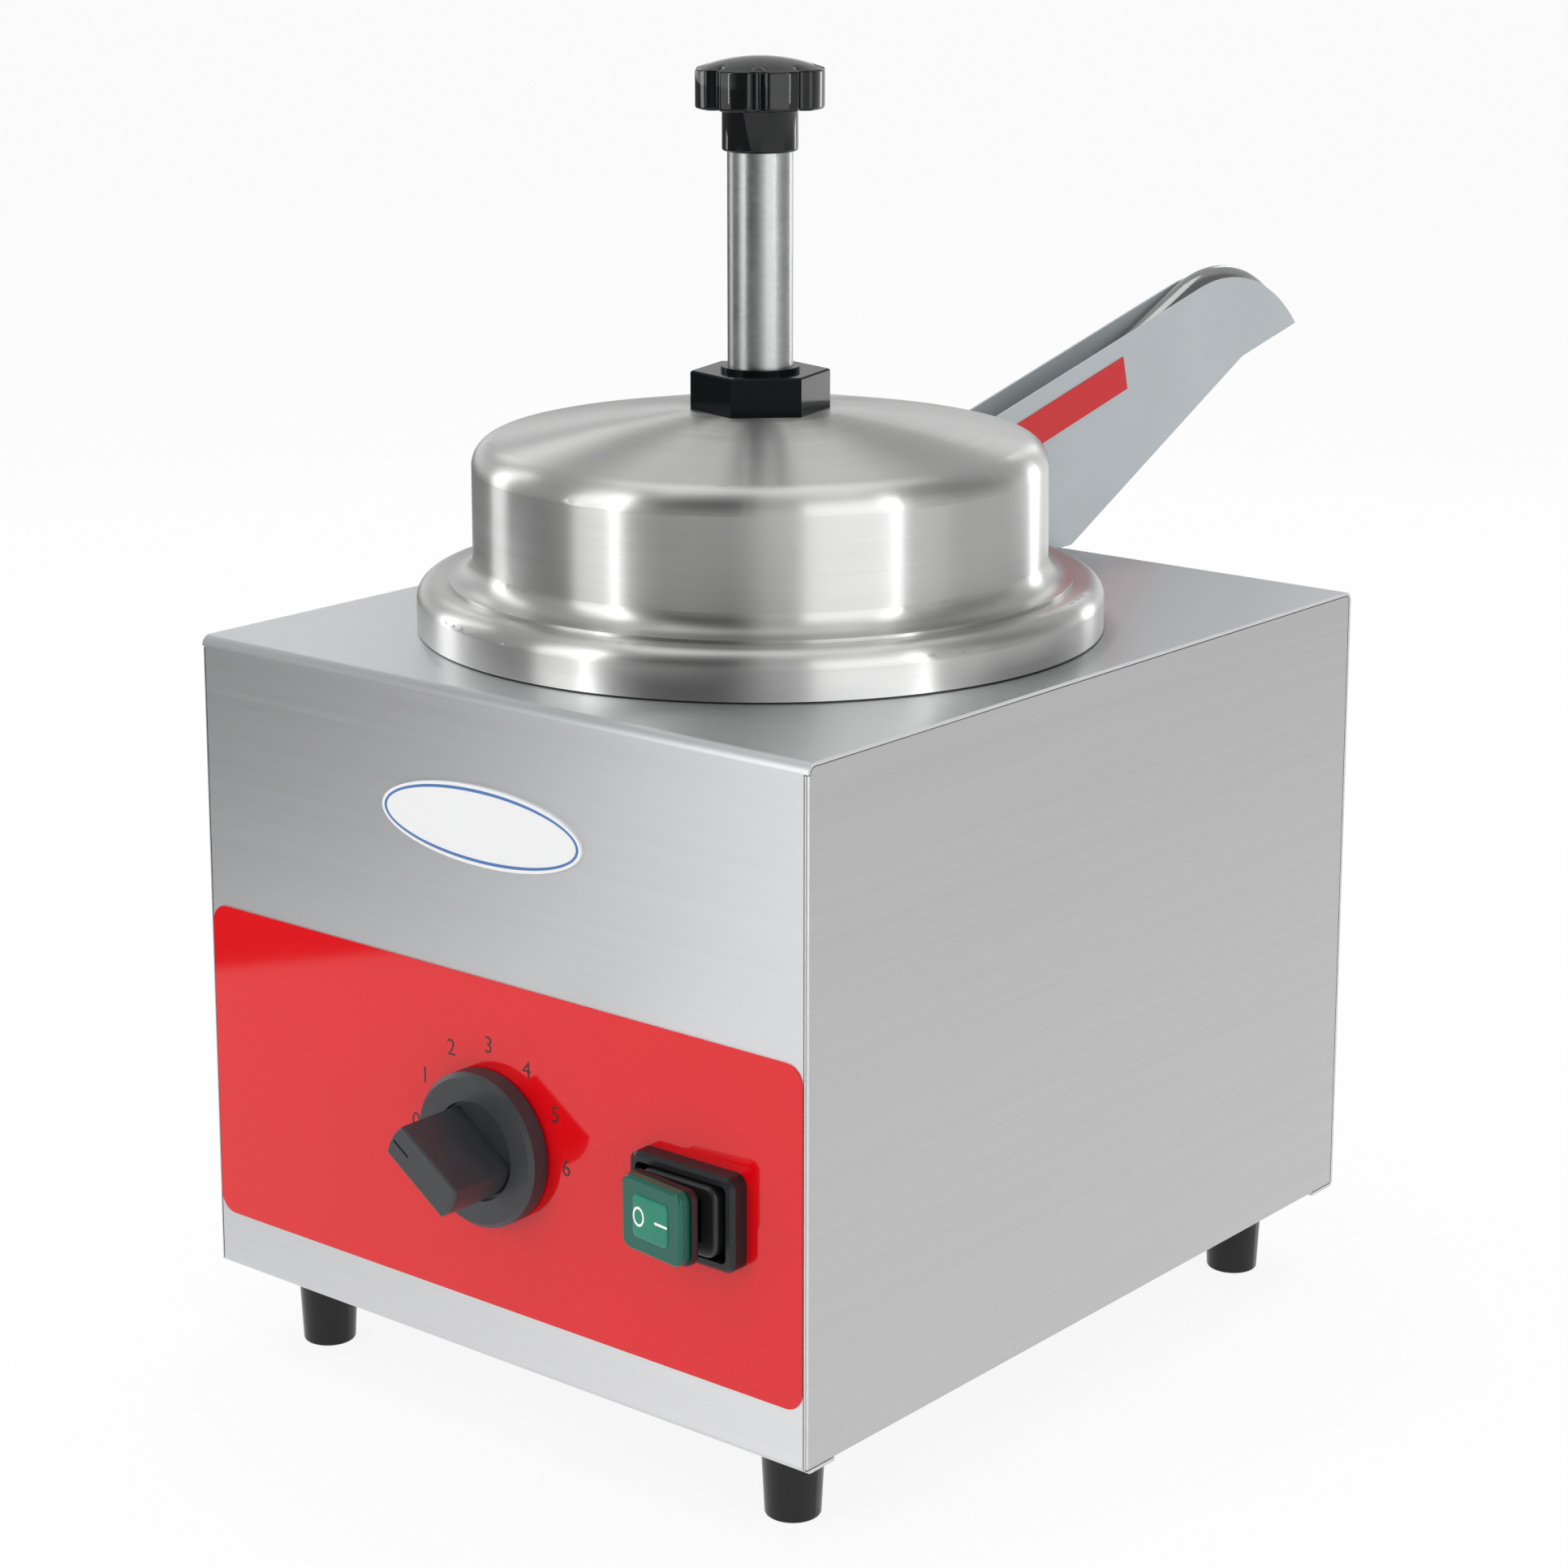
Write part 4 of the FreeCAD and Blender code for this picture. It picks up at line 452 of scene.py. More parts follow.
def grain_group(group, given, close, place):
    """Ends a grain group: fine and broad noise on stretched coordinates give a shade, a roughness
    and a height."""
    fine = noise_in(group, place, 1.0, 3.0, 0.65)
    broad = noise_in(group, vector_in(group, "MULTIPLY", place, BROAD_PLACE), 1.0, 2.0)
    both = math_in(group, "ADD", math_in(group, "MULTIPLY", fine, FINE_SHARE),
                   math_in(group, "MULTIPLY", broad, BROAD_SHARE))
    centred = math_in(group, "SUBTRACT", both, 0.5)
    return close_group(group, close, Shade=swing_in(group, centred, given["Contrast"], 1.0),
                       Roughness=swing_in(group, centred, given["Spread"], given["Roughness"]),
                       Height=both)


def brushed_grain():
    """Straight brushing: noise stretched along one direction and close-set along the other."""
    group, given, close = start_group(
        "brushed_grain", FINISH_OUTPUTS, Along=(9.0, 0.0, 0.0), Across=(0.0, 0.0, 900.0),
        Contrast=0.3, Roughness=0.3, Spread=0.2)
    along = vector_in(group, "DOT_PRODUCT", given["Vector"], given["Along"], "Value")
    across = vector_in(group, "DOT_PRODUCT", given["Vector"], given["Across"], "Value")
    place = node_in(group, "ShaderNodeCombineXYZ", {"X": along, "Y": across}).outputs["Vector"]
    return grain_group(group, given, close, place)


def spun_grain():
    """Brushing round an upright axis: noise of the direction, and of radius less height
    across it."""
    group, given, close = start_group(
        "spun_grain", FINISH_OUTPUTS, Centre=(0.0, 0.0, 0.0), Around=1.6, Across=900.0,
        Contrast=0.3, Roughness=0.3, Spread=0.2)
    off = vector_in(group, "SUBTRACT", given["Vector"], given["Centre"])
    parts = node_in(group, "ShaderNodeSeparateXYZ", {"Vector": off}).outputs
    flat = node_in(group, "ShaderNodeCombineXYZ", {"X": parts["X"], "Y": parts["Y"]})
    radius = vector_in(group, "LENGTH", flat.outputs["Vector"], output="Value")
    way = vector_in(group, "NORMALIZE", flat.outputs["Vector"])
    way = node_in(group, "ShaderNodeSeparateXYZ", {"Vector": way}).outputs
    across = math_in(group, "MULTIPLY", math_in(group, "SUBTRACT", radius, parts["Z"]),
                     given["Across"])
    around_x = math_in(group, "MULTIPLY", way["X"], given["Around"])
    around_y = math_in(group, "MULTIPLY", way["Y"], given["Around"])
    place = node_in(group, "ShaderNodeCombineXYZ", {"X": around_x, "Y": across, "Z": around_y})
    return grain_group(group, given, close, place.outputs["Vector"])


def surface_mottle():
    """Even mottle for moulded and coated surfaces: broad cloudy noise and a fine pore noise."""
    group, given, close = start_group(
        "surface_mottle", FINISH_OUTPUTS, Pores=2500.0, Clouds=40.0, Contrast=0.2,
        Roughness=0.4, Spread=0.15)
    pores = noise_in(group, given["Vector"], given["Pores"], 2.0)
    clouds = noise_in(group, given["Vector"], given["Clouds"], 3.0)
    centred = math_in(group, "SUBTRACT", clouds, 0.5)
    return close_group(group, close, Shade=swing_in(group, centred, given["Contrast"], 1.0),
                       Roughness=swing_in(group, centred, given["Spread"], given["Roughness"]),
                       Height=pores)


def room_shade():
    """How bright the room is in a direction: greyer left of the camera, at the back right, at
    the front left and overhead."""
    stage = bpy.context.scene.warmer_stage
    group, given, close = start_group("room_shade", ["Shade"])
    way = vector_in(group, "NORMALIZE", given["Vector"])
    level = vector_in(group, "NORMALIZE", vector_in(group, "MULTIPLY", way, (1.0, 1.0, 0.0)))
    height = node_in(group, "ShaderNodeSeparateXYZ", {"Vector": way}).outputs["Z"]
    shade = range_in(group, height, CEILING_START, CEILING_FULL, 1.0, stage.ceiling)
    for side, (reach, fade) in GREY_SIDES.items():
        turn, grey = getattr(stage, side + "_turn"), getattr(stage, "dark_" + side)
        near = vector_in(group, "DOT_PRODUCT", level, level_way(turn), "Value")
        lobe = range_in(group, near, math.cos(reach + fade), math.cos(reach), 1.0, grey)
        shade = math_in(group, "MULTIPLY", shade, lobe)
    return close_group(group, close, Shade=shade)


GROUP_MAKERS = {"brushed_grain": brushed_grain, "spun_grain": spun_grain,
                "surface_mottle": surface_mottle, "room_shade": room_shade}


def group_in(tree, name, values):
    """Outputs of a placed node group, which is built on first use."""
    group = bpy.data.node_groups.get(name) or GROUP_MAKERS[name]()
    return node_in(tree, "ShaderNodeGroup", values, node_tree=group).outputs


def groove_direction(tree, grooves):
    """Direction of the brushing: round the upright axis, or level on the front, top and back."""
    if grooves == "round":
        return node_in(tree, "ShaderNodeTangent", direction_type="RADIAL",
                       axis="Z").outputs["Tangent"]
    normal = tree.nodes.new("ShaderNodeNewGeometry").outputs["Normal"]
    return vector_in(tree, "CROSS_PRODUCT", normal, (0.0, 1.0, 1.0))


def finish_material(name, tint, group_name, group_values, bump=0.05, bump_distance=0.00005,
                    grooves=None, **surface):
    """Principled material whose colour, roughness and bump come from one of the groups. Further
    values go to the shader's own sockets."""
    material = bpy.data.materials.new(name)
    material.use_nodes = True
    tree = material.node_tree
    shader = tree.nodes["Principled BSDF"]
    place = tree.nodes.new("ShaderNodeTexCoord").outputs["Object"]
    effect = group_in(tree, group_name, {"Vector": place, **group_values})
    shaded = node_in(tree, "ShaderNodeVectorMath", {0: (*tint,), "Scale": effect["Shade"]},
                     operation="SCALE")
    tree.links.new(shaded.outputs["Vector"], shader.inputs["Base Color"])
    tree.links.new(effect["Roughness"], shader.inputs["Roughness"])
    if bump:
        lift = node_in(tree, "ShaderNodeBump", {"Height": effect["Height"], "Strength": bump,
                                                "Distance": bump_distance})
        tree.links.new(lift.outputs["Normal"], shader.inputs["Normal"])
    for key, value in surface.items():
        socket = key.replace("_", " ").title().replace("Ior", "IOR")
        shader.inputs[socket].default_value = value
    if grooves:
        tree.links.new(groove_direction(tree, grooves), shader.inputs["Tangent"])
    return material


def mottled(name, tint, values, bump=0.05, bump_distance=0.00005, **surface):
    """Material of a moulded or coated surface."""
    return finish_material(name, tint, "surface_mottle", values, bump, bump_distance, **surface)


def dress(material, *names):
    """Give CAD nodes a material in place of their own."""
    for name in names:
        mesh = frame["nodes"][name].data
        mesh.materials.clear()
        mesh.materials.append(material)


# Finishes of the CAD nodes

class WARMER_OT_sheet_steel(bpy.types.Operator):
    """Brushed sheet of the housing: grain level on the upright faces, and from side to side on
    the top."""
    bl_idname = "warmer.sheet_steel"
    bl_label = "Sheet steel"

    def execute(self, context):
        tone = warmer_colours()
        wrap = dict(Along=(7.0, 0.0, 0.0), Across=(0.0, 1400.0, 1400.0), Contrast=0.16,
                    Roughness=0.34, Spread=0.12)
        side = dict(Along=(0.0, 7.0, 0.0), Across=(1400.0, 0.0, 1400.0), Contrast=0.42,
                    Roughness=0.38, Spread=0.16)
        inner = dict(Along=(7.0, 0.0, 0.0), Across=(0.0, 900.0, 900.0), Contrast=0.2,
                     Roughness=0.38, Spread=0.2)
        drawn_out = dict(metallic=1.0, anisotropic=0.9, anisotropic_rotation=0.25)
        dress(finish_material("brushed_wrap", tone.sheet_steel, "brushed_grain", wrap, 0.06,
                              grooves="level", **drawn_out), "housing_wrap")
        # The side panels take the darker side tint, which paints their shade
        dress(finish_material("brushed_side_painted_shade", tone.side_steel, "brushed_grain", side, 0.08,
                              grooves="round", **drawn_out), "side_panel_left", "side_panel_right")
        dress(finish_material("plain_sheet", tone.inner_steel, "brushed_grain", inner,
                              metallic=1.0), "bottom_plate", "clamp_plate")
        return {"FINISHED"}


class WARMER_OT_spun_steel(bpy.types.Operator):
    """Spun and drawn steel: brushing round the well's axis. On the lid and the collar the gloss
    is drawn out across it."""
    bl_idname = "warmer.spun_steel"
    bl_label = "Spun steel"

    def execute(self, context):
        tone = warmer_colours()
        lid = dict(Centre=(WELL.x, WELL.y, 0.0), Around=1.4, Across=1500.0, Contrast=0.30,
                   Roughness=0.31, Spread=0.12)
        dress(finish_material("spun_lid", tone.spun_steel, "spun_grain", lid, 0.05, metallic=1.0,
                              anisotropic=0.97, anisotropic_rotation=0.25, grooves="round"),
              "lid_shell", "well_collar")
        inside = dict(lid, Roughness=0.34)
        dress(finish_material("drawn_steel", tone.inner_steel, "spun_grain", inside, metallic=1.0),
              "food_jar", "well_vessel", "pump_cylinder", "coupling_nut", "return_spring")
        return {"FINISHED"}


class WARMER_OT_bright_steel(bpy.types.Operator):
    """Polished tubes and the satin shroud."""
    bl_idname = "warmer.bright_steel"
    bl_label = "Bright steel"

    def execute(self, context):
        tone = warmer_colours()
        rod = dict(Centre=(WELL.x, WELL.y, 0.0), Around=3.0, Across=600.0, Contrast=0.55,
                   Roughness=0.31, Spread=0.20)
        dress(finish_material("polished_rod", tone.polished_steel, "spun_grain", rod, 0.03,
                              metallic=1.0), "plunger_tube", "inlet_ball")
        tube = dict(Along=(0.0, 12.0, 3.0), Across=(1100.0, 0.0, 1100.0), Contrast=0.08,
                    Roughness=0.12, Spread=0.08)
        dress(finish_material("polished_tube", tone.polished_steel, "brushed_grain", tube, 0.03,
                              metallic=1.0), "discharge_tube")
        satin = dict(Pores=3200.0, Clouds=22.0, Contrast=0.14, Roughness=0.50, Spread=0.12)
        dress(mottled("satin_steel", tone.satin_steel, satin, 0.06, metallic=0.4), "spout_shroud")
        return {"FINISHED"}


class WARMER_OT_hardware(bpy.types.Operator):
    """Plated screws, nuts and studs, the element's sheath, and copper."""
    bl_idname = "warmer.hardware"
    bl_label = "Hardware"

    def execute(self, context):
        tone = warmer_colours()
        plated = dict(Pores=2000.0, Clouds=120.0, Contrast=0.2, Roughness=0.32, Spread=0.2)
        dress(mottled("plated_zinc", tone.zinc, plated, metallic=1.0),
              "foot_fasteners", "plate_screws", "clamp_fasteners", "thermostat_screws",
              "block_screws", "earth_stud", "shroud_fasteners", "knob_stud", "thermostat_shaft")
        oxidised = dict(plated, Contrast=0.5, Roughness=0.5)
        dress(mottled("oxidised_sheath", tone.sheath, oxidised, metallic=1.0), "heating_element")
        drawn = dict(plated, Contrast=0.3, Roughness=0.36)
        dress(mottled("drawn_copper", tone.copper, drawn, metallic=1.0),
              "thermostat_bulb", "capillary_tube")
        return {"FINISHED"}


class WARMER_OT_mouldings(bpy.types.Operator):
    """Moulded plastics: glossy black, matt black, white and phenolic."""
    bl_idname = "warmer.mouldings"
    bl_label = "Mouldings"

    def execute(self, context):
        tone = warmer_colours()
        glossy = dict(Pores=1500.0, Clouds=60.0, Contrast=0.2, Roughness=0.10, Spread=0.06)
        dress(mottled("gloss_black", tone.gloss_black, glossy, 0.01, specular_ior_level=0.08),
              "lid_nut", "guide_bush")
        matt = dict(Pores=3500.0, Clouds=80.0, Contrast=0.25, Roughness=0.42, Spread=0.12)
        dress(mottled("matt_black", tone.matt_black, matt, 0.35),
              "thermostat_knob", "switch_body", "cord_gland", "gland_nut")
        surround = dict(matt, Roughness=0.34)
        dress(mottled("frame_black", tone.frame_black, surround, 0.25, specular_ior_level=0.35),
              "switch_frame")
        white = dict(matt, Contrast=0.08, Roughness=0.45)
        dress(mottled("moulded_white", tone.moulded_white, white, 0.05),
              "terminal_block", "cylinder_head", "valve_body", "piston")
        brown = dict(matt, Contrast=0.3, Roughness=0.38)
        dress(mottled("phenolic", tone.phenolic, brown, 0.05),
              "thermostat_body", "high_limit_cutout")
        return {"FINISHED"}


class WARMER_OT_soft_finishes(bpy.types.Operator):
    """Rubber, silicone, wool and the leads' sleeves."""
    bl_idname = "warmer.soft_finishes"
    bl_label = "Soft finishes"

    def execute(self, context):
        tone = warmer_colours()
        rubber = dict(Pores=1800.0, Clouds=90.0, Contrast=0.3, Roughness=0.24, Spread=0.14)
        dress(mottled("foot_rubber", tone.foot_black, rubber, 0.03, specular_ior_level=0.35),
              "feet", "collar_gasket")
        boot = dict(rubber, Roughness=0.38)
        dress(mottled("boot_rubber", tone.rubber_black, boot, 0.15), "switch_boot", "rocker_lever")
        clear = dict(rubber, Contrast=0.05, Roughness=0.3)
        dress(mottled("clear_silicone", tone.clear_silicone, clear),
              "lid_seal", "tube_grommet", "piston_seals")
        pad = dict(rubber, Contrast=0.15, Roughness=0.55)
        dress(mottled("heater_pad", tone.red_silicone, pad, 0.2), "spout_heater")
        fibrous = dict(Pores=900.0, Clouds=200.0, Contrast=0.7, Roughness=0.95, Spread=0.05)
        dress(mottled("mineral_wool", tone.wool, fibrous, 0.9, 0.0006), "insulation_jacket")
        sleeved = dict(rubber, Contrast=0.1, Roughness=0.6)
        dress(mottled("lead_sleeve", tone.sleeve, sleeved, 0.2),
              "heater_leads", "switch_leads", "earth_lead", "spout_heater_lead")
        return {"FINISHED"}


class WARMER_OT_films(bpy.types.Operator):
    """Glossy front film, the strip on the shroud and the blank badge."""
    bl_idname = "warmer.films"
    bl_label = "Films and badge"

    def execute(self, context):
        tone = warmer_colours()
        film = dict(Pores=600.0, Clouds=14.0, Contrast=0.08, Roughness=0.07, Spread=0.05)
        dress(mottled("front_film", tone.film, film, 0.01, coat_weight=0.2, coat_roughness=0.03,
                      specular_ior_level=0.44), "control_overlay")
        strip = dict(film, Roughness=0.2)
        dress(mottled("shroud_strip", tone.strip, strip, 0.01), "shroud_label")
        plate = dict(film, Contrast=0.03, Roughness=0.22)
        dress(mottled("badge_plate", tone.badge, plate, 0.01, coat_weight=0.5,
                      coat_roughness=0.08), "badge_plate")
        return {"FINISHED"}


# Pieces made here

def place_on_cap(mesh):
    """Turn a mesh made round the rocker's axis to the rest tilt and carry it there."""
    tilt = Matrix.Rotation(warmer_sizes().cap_tilt, 4, "Z")
    mesh.transform(Matrix.Translation(ROCKER) @ tilt)
    mesh.update()


class WARMER_OT_switch_cap(bpy.types.Operator):
    """Rim colour of the rocker's cap, and its raised window: loops of a rounded rectangle that
    step out of the cap and then draw in to the middle."""
    bl_idname = "warmer.switch_cap"
    bl_label = "Switch cap"

    def execute(self, context):
        tone, size = warmer_colours(), warmer_sizes()
        glassy = dict(Pores=900.0, Clouds=110.0, Contrast=0.35, Roughness=0.14, Spread=0.08)
        dress(mottled("cap_rim", tone.cap_rim, glassy, 0.02, coat_weight=0.1, coat_roughness=0.1,
                      specular_ior_level=0.35), "rocker_cap")
        rise = size.window_rise
        steps = [(0.0, WINDOW_SKIRT), (0.0, -rise * EDGE_START),
                 (rise * EDGE_INSET, -rise * EDGE_HEIGHT), (rise, -rise),
                 (size.window_corner, -rise), (size.window_height / 2 - rise, -rise)]
        rings = []
        for inset, depth in steps:
            x, z = rounded_rectangle(size.window_width - 2 * inset, size.window_height - 2 * inset,
                                     max(size.window_corner - inset, rise * LEAST_CORNER))
            rings.append(front_points(x, depth - size.cap_reach, z))
        mesh = stacked_rings("cap_window", np.stack(rings))
        place_on_cap(mesh)
        add_piece("cap_window", mesh, "rocker",
                  mottled("cap_window", tone.cap_window, glassy, 0.02, coat_weight=0.15,
                          coat_roughness=0.06, specular_ior_level=0.35))
        return {"FINISHED"}


class WARMER_OT_switch_marks(bpy.types.Operator):
    """Off ring and on bar on the cap, each twice the print's depth proud. Ring: a flat oblong
    section carried round an ellipse. Bar: loops of a rounded rectangle that close at the
    front."""
    bl_idname = "warmer.switch_marks"
    bl_label = "Switch marks"

    def execute(self, context):
        size = warmer_sizes()
        face = -size.cap_reach - size.window_rise
        proud = size.print_depth * 2
        half = size.mark_line / 2
        radius = size.mark_ring + np.array([-half, half, half, -half])
        depth = face + np.array([0.0, 0.0, -proud, -proud])
        ring = oval_line("ring_mark", (-size.mark_spread, 0.0), radius * RING_WIDTH, radius,
                         depth, RING_POINTS)
        loops = []
        for inset, step in ((0.0, 0.0), (0.0, -proud), (half * BAR_INSET, -proud)):
            x, z = rounded_rectangle(size.mark_bar - 2 * inset, size.mark_line - 2 * inset,
                                     half - inset)
            loops.append(front_points(x + size.mark_spread, face + step, z))
        bar = stacked_rings("bar_mark", np.stack(loops))
        mesh = join_meshes("switch_marks", [ring, bar])
        place_on_cap(mesh)
        white = dict(Pores=900.0, Clouds=200.0, Contrast=0.04, Roughness=0.35, Spread=0.05)
        add_piece("switch_marks", mesh, "rocker",
                  mottled("mark_white", warmer_colours().mark_white, white, 0.0))
        return {"FINISHED"}


class WARMER_OT_dial_numbers(bpy.types.Operator):
    """Plain numbers printed on the film, clockwise round the knob from the left, over half a
    turn."""
    bl_idname = "warmer.dial_numbers"
    bl_label = "Dial numbers"

    def execute(self, context):
        size = warmer_sizes()
        film_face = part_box("control_overlay")[0].y
        meshes = []
        for number in range(size.number_count):
            turn = math.pi * (1 - number / (size.number_count - 1))
            text = bpy.data.curves.new("number", "FONT")
            text.body = str(number)
            text.size = size.number_height / DIGIT_SHARE
            text.align_x, text.align_y = "CENTER", "CENTER"
            text.extrude = size.print_depth
            text.resolution_u = DIGIT_STEPS
            text.offset = -size.number_thinning
            holder = new_object("number", text)
            graph = bpy.context.evaluated_depsgraph_get()
            mesh = bpy.data.meshes.new_from_object(holder.evaluated_get(graph))
            bpy.data.objects.remove(holder)
            way = Vector((math.cos(turn), 0, math.sin(turn)))
            place = KNOB + way * size.number_circle
            place.y = film_face - size.print_depth * PRINT_STAND
            mesh.transform(Matrix.Translation(place) @ FRONT_TURN.to_4x4())
            meshes.append(mesh)
        ink = dict(Pores=900.0, Clouds=300.0, Contrast=0.2, Roughness=0.3, Spread=0.05)
        add_piece("dial_numbers", join_meshes("dial_numbers", meshes), "housing",
                  mottled("number_ink", warmer_colours().ink, ink, 0.0))
        return {"FINISHED"}


class WARMER_OT_badge_line(bpy.types.Operator):
    """Line round the blank badge: a flat oblong section carried round an ellipse."""
    bl_idname = "warmer.badge_line"
    bl_label = "Badge line"

    def execute(self, context):
        size = warmer_sizes()
        low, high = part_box("badge_plate")
        centre = (high + low) / 2
        width, thick = size.badge_line_width, size.print_depth
        inset = size.badge_line_inset + np.array([width, 0.0, 0.0, width])
        depth = low.y + np.array([thick, thick, -thick, -thick])
        line = oval_line("badge_line", (centre.x, centre.z), (high.x - low.x) / 2 - inset,
                         (high.z - low.z) / 2 - inset, depth, BADGE_POINTS)
        blue = dict(Pores=900.0, Clouds=100.0, Contrast=0.1, Roughness=0.25, Spread=0.05)
        add_piece("badge_line", line, "housing",
                  mottled("badge_line", warmer_colours().badge_line, blue, 0.0))
        return {"FINISHED"}


class WARMER_OT_return_spring(bpy.types.Operator):
    """Return spring: a round section carried up a helix, whose middle at turn t is mean radius
    times (cos t, sin t) and rises evenly."""
    bl_idname = "warmer.return_spring"
    bl_label = "Return spring"

    def execute(self, context):
        size = warmer_sizes()
        low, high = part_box("return_spring")
        wire = size.spring_wire
        mean = (high.x - low.x) / 2 - wire
        turn = np.linspace(0.0, 2 * math.pi * size.spring_turns,
                           COIL_STEPS * size.spring_turns + 1)
        out = np.stack([np.cos(turn), np.sin(turn), np.zeros_like(turn)], -1)
        height = np.linspace(low.z + wire, high.z - wire, len(turn))
        axis = np.stack([np.full_like(turn, WELL.x), np.full_like(turn, WELL.y), height], -1)
        centre = mean * out + axis
        around = whole_turn(WIRE_POINTS)[None, :, None]
        upward = np.array([0.0, 0.0, 1.0])
        rings = centre[:, None, :] + wire * (np.cos(around) * out[:, None, :]
                                             - np.sin(around) * upward)
        piece = add_piece("return_spring_coil", stacked_rings("return_spring_coil", rings),
                          "lid", bpy.data.materials["drawn_steel"])
        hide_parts("return_spring")
        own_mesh(piece)
        return {"FINISHED"}


class WARMER_OT_star_knob(bpy.types.Operator):
    """Star knob: a lathe profile of hub, lobes and dome. At the lobes its radius is drawn in by
    flute * cos(pi/2 * distance / reach)^2, with distance taken round the rim from a hollow's
    middle. On the dome the hollows run out within half their depth of height."""
    bl_idname = "warmer.star_knob"
    bl_label = "Star knob"

    def execute(self, context):
        size = warmer_sizes()
        low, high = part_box("star_knob")
        axis = ((low.x + high.x) / 2, (low.y + high.y) / 2)
        full, hub, edge = size.star_radius, size.star_hub, size.star_edge
        under = low.z + size.star_hub_height
        over = under + size.star_side
        quarter = np.linspace(0.0, math.pi / 2, EDGE_POINTS)
        bend, rise = edge * np.sin(quarter), edge * np.cos(quarter)
        foot = np.stack([hub - edge + bend, low.z + edge - rise], -1)
        neck = np.array([[hub, under - edge / 2], [hub + edge / 4, under], [hub + edge, under]])
        rim = np.stack([full - edge + bend, under + edge - rise], -1)
        brow = np.stack([full - edge + rise, over - edge + bend], -1)
        share = np.linspace(DOME_START, DOME_END, DOME_POINTS)
        dome_rise = (high.z - over) * (1 - (1 - share) ** 2)
        dome = np.stack([(full - edge) * (1 - share), over + dome_rise], -1)
        profile = np.concatenate([foot, neck, rim, brow, dome])
        lobed = np.concatenate([np.zeros(len(foot) + len(neck)), np.ones(len(rim) + len(brow)),
                                np.clip(1 - dome_rise / size.star_flute * 2, 0.0, 1.0)])
        turn = whole_turn(RIM_POINTS)
        pitch = 2 * math.pi / size.star_lobes
        distance = full * np.abs((turn - size.star_turn + pitch / 2) % pitch - pitch / 2)
        hollow = np.clip(distance / size.star_flute_reach, 0.0, 1.0)
        hollow = np.cos(hollow * math.pi / 2) ** 2
        radius = profile[:, :1] - size.star_flute * lobed[:, None] * hollow[None, :]
        rings = np.stack([axis[0] + radius * np.cos(turn), axis[1] + radius * np.sin(turn),
                          np.broadcast_to(profile[:, 1:2], radius.shape)], -1)
        glossy = dict(Pores=1500.0, Clouds=60.0, Contrast=0.2, Roughness=0.06, Spread=0.04)
        piece = add_piece("star_knob_skin", stacked_rings("star_knob_skin", rings), "plunger",
                          mottled("star_black", warmer_colours().gloss_black, glossy, 0.01,
                                  specular_ior_level=0.38))
        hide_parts("star_knob")
        return {"FINISHED"}


# Stage

def lamp(name, place, target, width, height, power):
    """Soft rectangular lamp aimed at a point."""
    data = bpy.data.lights.new(name, "AREA")
    data.shape, data.size, data.size_y, data.energy = "RECTANGLE", width, height, power
    holder = new_object(name, data)
    holder.location = place
    holder.rotation_euler = (Vector(target) - Vector(place)).to_track_quat("-Z", "Y").to_euler()


def soft_box(name, degrees, width, foot, top, brightness, stage):
    """Upright soft lamp, with its foot and top at given heights. Its power is pi times its area
    times how bright it looks."""
    turn, middle_height = math.radians(degrees), (foot + top) / 2
    place = (WELL.x + stage.box_distance * math.cos(turn),
             WELL.y + stage.box_distance * math.sin(turn), middle_height)
    power = math.pi * width * (top - foot) * brightness * stage.box_brightness
    lamp(name, place, (WELL.x, WELL.y, middle_height), width, top - foot, power)


def seen_by(tree):
    """One for what the camera, gloss and glass see, and zero for matt surfaces."""
    path = tree.nodes.new("ShaderNodeLightPath").outputs
    some = math_in(tree, "MAXIMUM", path["Is Camera Ray"], path["Is Glossy Ray"])
    return math_in(tree, "MAXIMUM", some, path["Is Transmission Ray"])


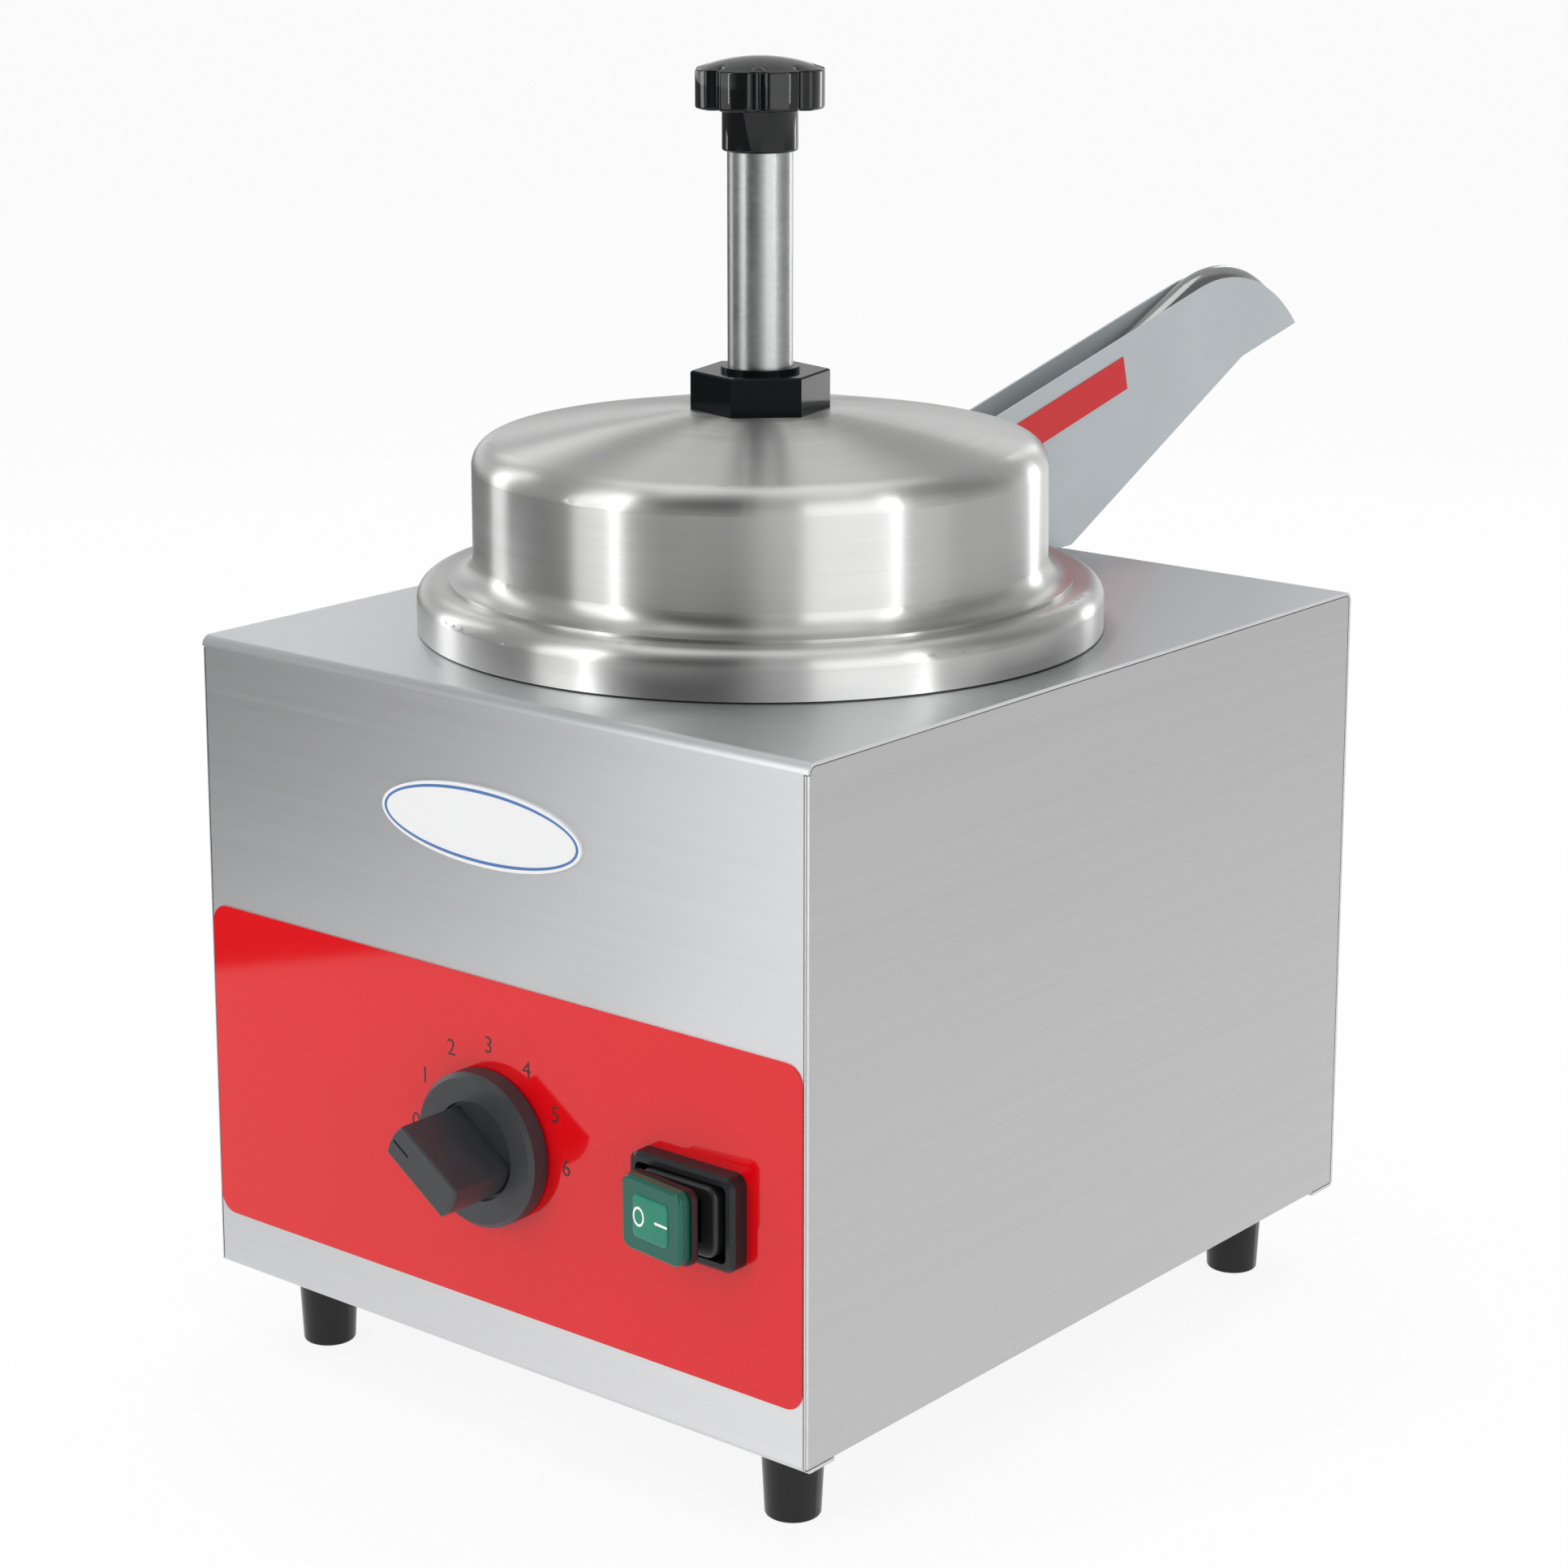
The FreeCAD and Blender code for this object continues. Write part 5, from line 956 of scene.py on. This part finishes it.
class WARMER_OT_stage(bpy.types.Operator):
    """Pale floor, white room, soft lamps and the camera."""
    bl_idname = "warmer.stage"
    bl_label = "Stage"

    def execute(self, context):
        scene = context.scene
        stage = scene.warmer_stage
        self.make_floor(stage)
        self.make_room(scene, stage)
        for name, settings in SOFT_BOXES.items():
            soft_box("lamp_" + name, *settings, stage)
        lamp("lamp_top", TOP_PLACE, TOP_TARGET, TOP_SIDE, TOP_SIDE, stage.top_power)
        data = bpy.data.cameras.new("camera")
        data.sensor_width, data.lens = SENSOR_WIDTH, stage.lens
        data.shift_x, data.shift_y = stage.shift_x, stage.shift_y
        data.clip_start, data.clip_end = NEAREST, FURTHEST
        camera = new_object("camera", data)
        camera.location = (stage.camera_x, stage.camera_y, stage.camera_z)
        camera.rotation_euler = (math.pi / 2 - stage.camera_drop, 0.0, stage.camera_turn)
        scene.camera = camera
        scene.view_settings.view_transform = "Standard"
        return {"FINISHED"}

    def make_floor(self, stage):
        """Flat square grid at the height of the feet. Metal sees it white out to the table's
        radius, and dark past the table's edge at the front left."""
        half, lines = stage.floor_size / 2, FLOOR_CELLS + 1
        steps = np.linspace(-half, half, lines)
        x, y = np.meshgrid(steps, steps, indexing="ij")
        points = np.stack([x, y, np.zeros_like(x)], -1).reshape(-1, 3)
        i, j = np.meshgrid(np.arange(FLOOR_CELLS), np.arange(FLOOR_CELLS), indexing="ij")
        corner, across = i * lines + j, (i + 1) * lines + j
        faces = np.stack([corner, across, across + 1, corner + 1], -1).reshape(-1, 4)
        mesh = new_mesh("floor", points.tolist(), faces.tolist(), smooth=False)
        floor = new_object("floor", mesh)
        material = bpy.data.materials.new("floor")
        material.use_nodes = True
        tree = material.node_tree
        shader = tree.nodes["Principled BSDF"]
        shader.inputs["Base Color"].default_value = (*warmer_colours().floor, 1.0)
        shader.inputs["Roughness"].default_value = FLOOR_ROUGHNESS
        place = tree.nodes.new("ShaderNodeTexCoord").outputs["Object"]
        around = group_in(tree, "room_shade", {"Vector": place})
        away = vector_in(tree, "LENGTH", place, output="Value")
        near = range_in(tree, away, stage.table_radius, TABLE_FADE * stage.table_radius, 1.0, 0.0)
        plain = tree.nodes.new("ShaderNodeLightPath").outputs["Is Camera Ray"]
        ahead = vector_in(tree, "DOT_PRODUCT", place, level_way(stage.front_turn), "Value")
        past = range_in(tree, ahead, stage.table_edge, stage.table_edge * EDGE_FADE, 1.0,
                        stage.past_edge)
        level = math_in(tree, "MAXIMUM", around["Shade"], near)
        level = math_in(tree, "MAXIMUM", math_in(tree, "MULTIPLY", level, past), plain)
        glow = node_in(tree, "ShaderNodeEmission", {"Color": (1.0, 1.0, 1.0, 1.0),
                                                    "Strength": level})
        share = math_in(tree, "MULTIPLY", seen_by(tree), stage.floor_share)
        mix = node_in(tree, "ShaderNodeMixShader", {0: share, 1: shader.outputs[0],
                                                    2: glow.outputs[0]})
        tree.links.new(mix.outputs[0], tree.nodes["Material Output"].inputs["Surface"])
        mesh.materials.append(material)

    def make_room(self, scene, stage):
        """White for the camera, shaded by direction for gloss, and even for matt surfaces."""
        world = bpy.data.worlds.new("room")
        world.use_nodes = True
        scene.world = world
        tree = world.node_tree
        background = tree.nodes["Background"]
        way = tree.nodes.new("ShaderNodeTexCoord").outputs["Generated"]
        plain = tree.nodes.new("ShaderNodeLightPath").outputs["Is Camera Ray"]
        shade = group_in(tree, "room_shade", {"Vector": way})["Shade"]
        shade = math_in(tree, "MAXIMUM", shade, plain)
        seen = node_in(tree, "ShaderNodeCombineColor", {0: shade, 1: shade, 2: shade}).outputs[0]
        room = (stage.room_light, stage.room_light, stage.room_light, 1.0)
        mix = node_in(tree, "ShaderNodeMix", {"Factor": seen_by(tree), "A": room, "B": seen},
                      data_type="RGBA")
        tree.links.new(mix.outputs["Result"], background.inputs["Color"])
        background.inputs["Strength"].default_value = 1.0


OPERATORS = (WARMER_OT_sheet_steel, WARMER_OT_spun_steel, WARMER_OT_bright_steel,
             WARMER_OT_hardware, WARMER_OT_mouldings, WARMER_OT_soft_finishes,
             WARMER_OT_films, WARMER_OT_switch_cap, WARMER_OT_switch_marks,
             WARMER_OT_dial_numbers, WARMER_OT_badge_line, WARMER_OT_return_spring,
             WARMER_OT_star_knob, WARMER_OT_stage)


class WARMER_PT_pieces(bpy.types.Panel):
    """Lists the warmer's pieces, sizes and colours."""
    bl_idname = "WARMER_PT_pieces"
    bl_label = "Hot topping warmer"
    bl_space_type = "VIEW_3D"
    bl_region_type = "UI"
    bl_category = "Warmer"

    def draw(self, context):
        for operator in OPERATORS:
            self.layout.operator(operator.bl_idname)
        scene = context.scene
        for group in (scene.warmer_colours, scene.warmer_sizes, scene.warmer_stage):
            for key in group.__annotations__:
                self.layout.prop(group, key)


CLASSES = (WarmerColours, WarmerSizes, StageSettings, *OPERATORS, WARMER_PT_pieces)


def register():
    """Make the classes and the scene's settings known."""
    for kind in CLASSES:
        bpy.utils.register_class(kind)
    bpy.types.Scene.warmer_colours = PointerProperty(type=WarmerColours)
    bpy.types.Scene.warmer_sizes = PointerProperty(type=WarmerSizes)
    bpy.types.Scene.warmer_stage = PointerProperty(type=StageSettings)


def unregister():
    """Undo register."""
    for name in ("warmer_colours", "warmer_sizes", "warmer_stage"):
        delattr(bpy.types.Scene, name)
    for kind in reversed(CLASSES):
        bpy.utils.unregister_class(kind)


def main():
    """Run every operator in order."""
    register()
    for operator in OPERATORS:
        area, name = operator.bl_idname.split(".")
        getattr(getattr(bpy.ops, area), name)()


if __name__ == "__main__":
    main()
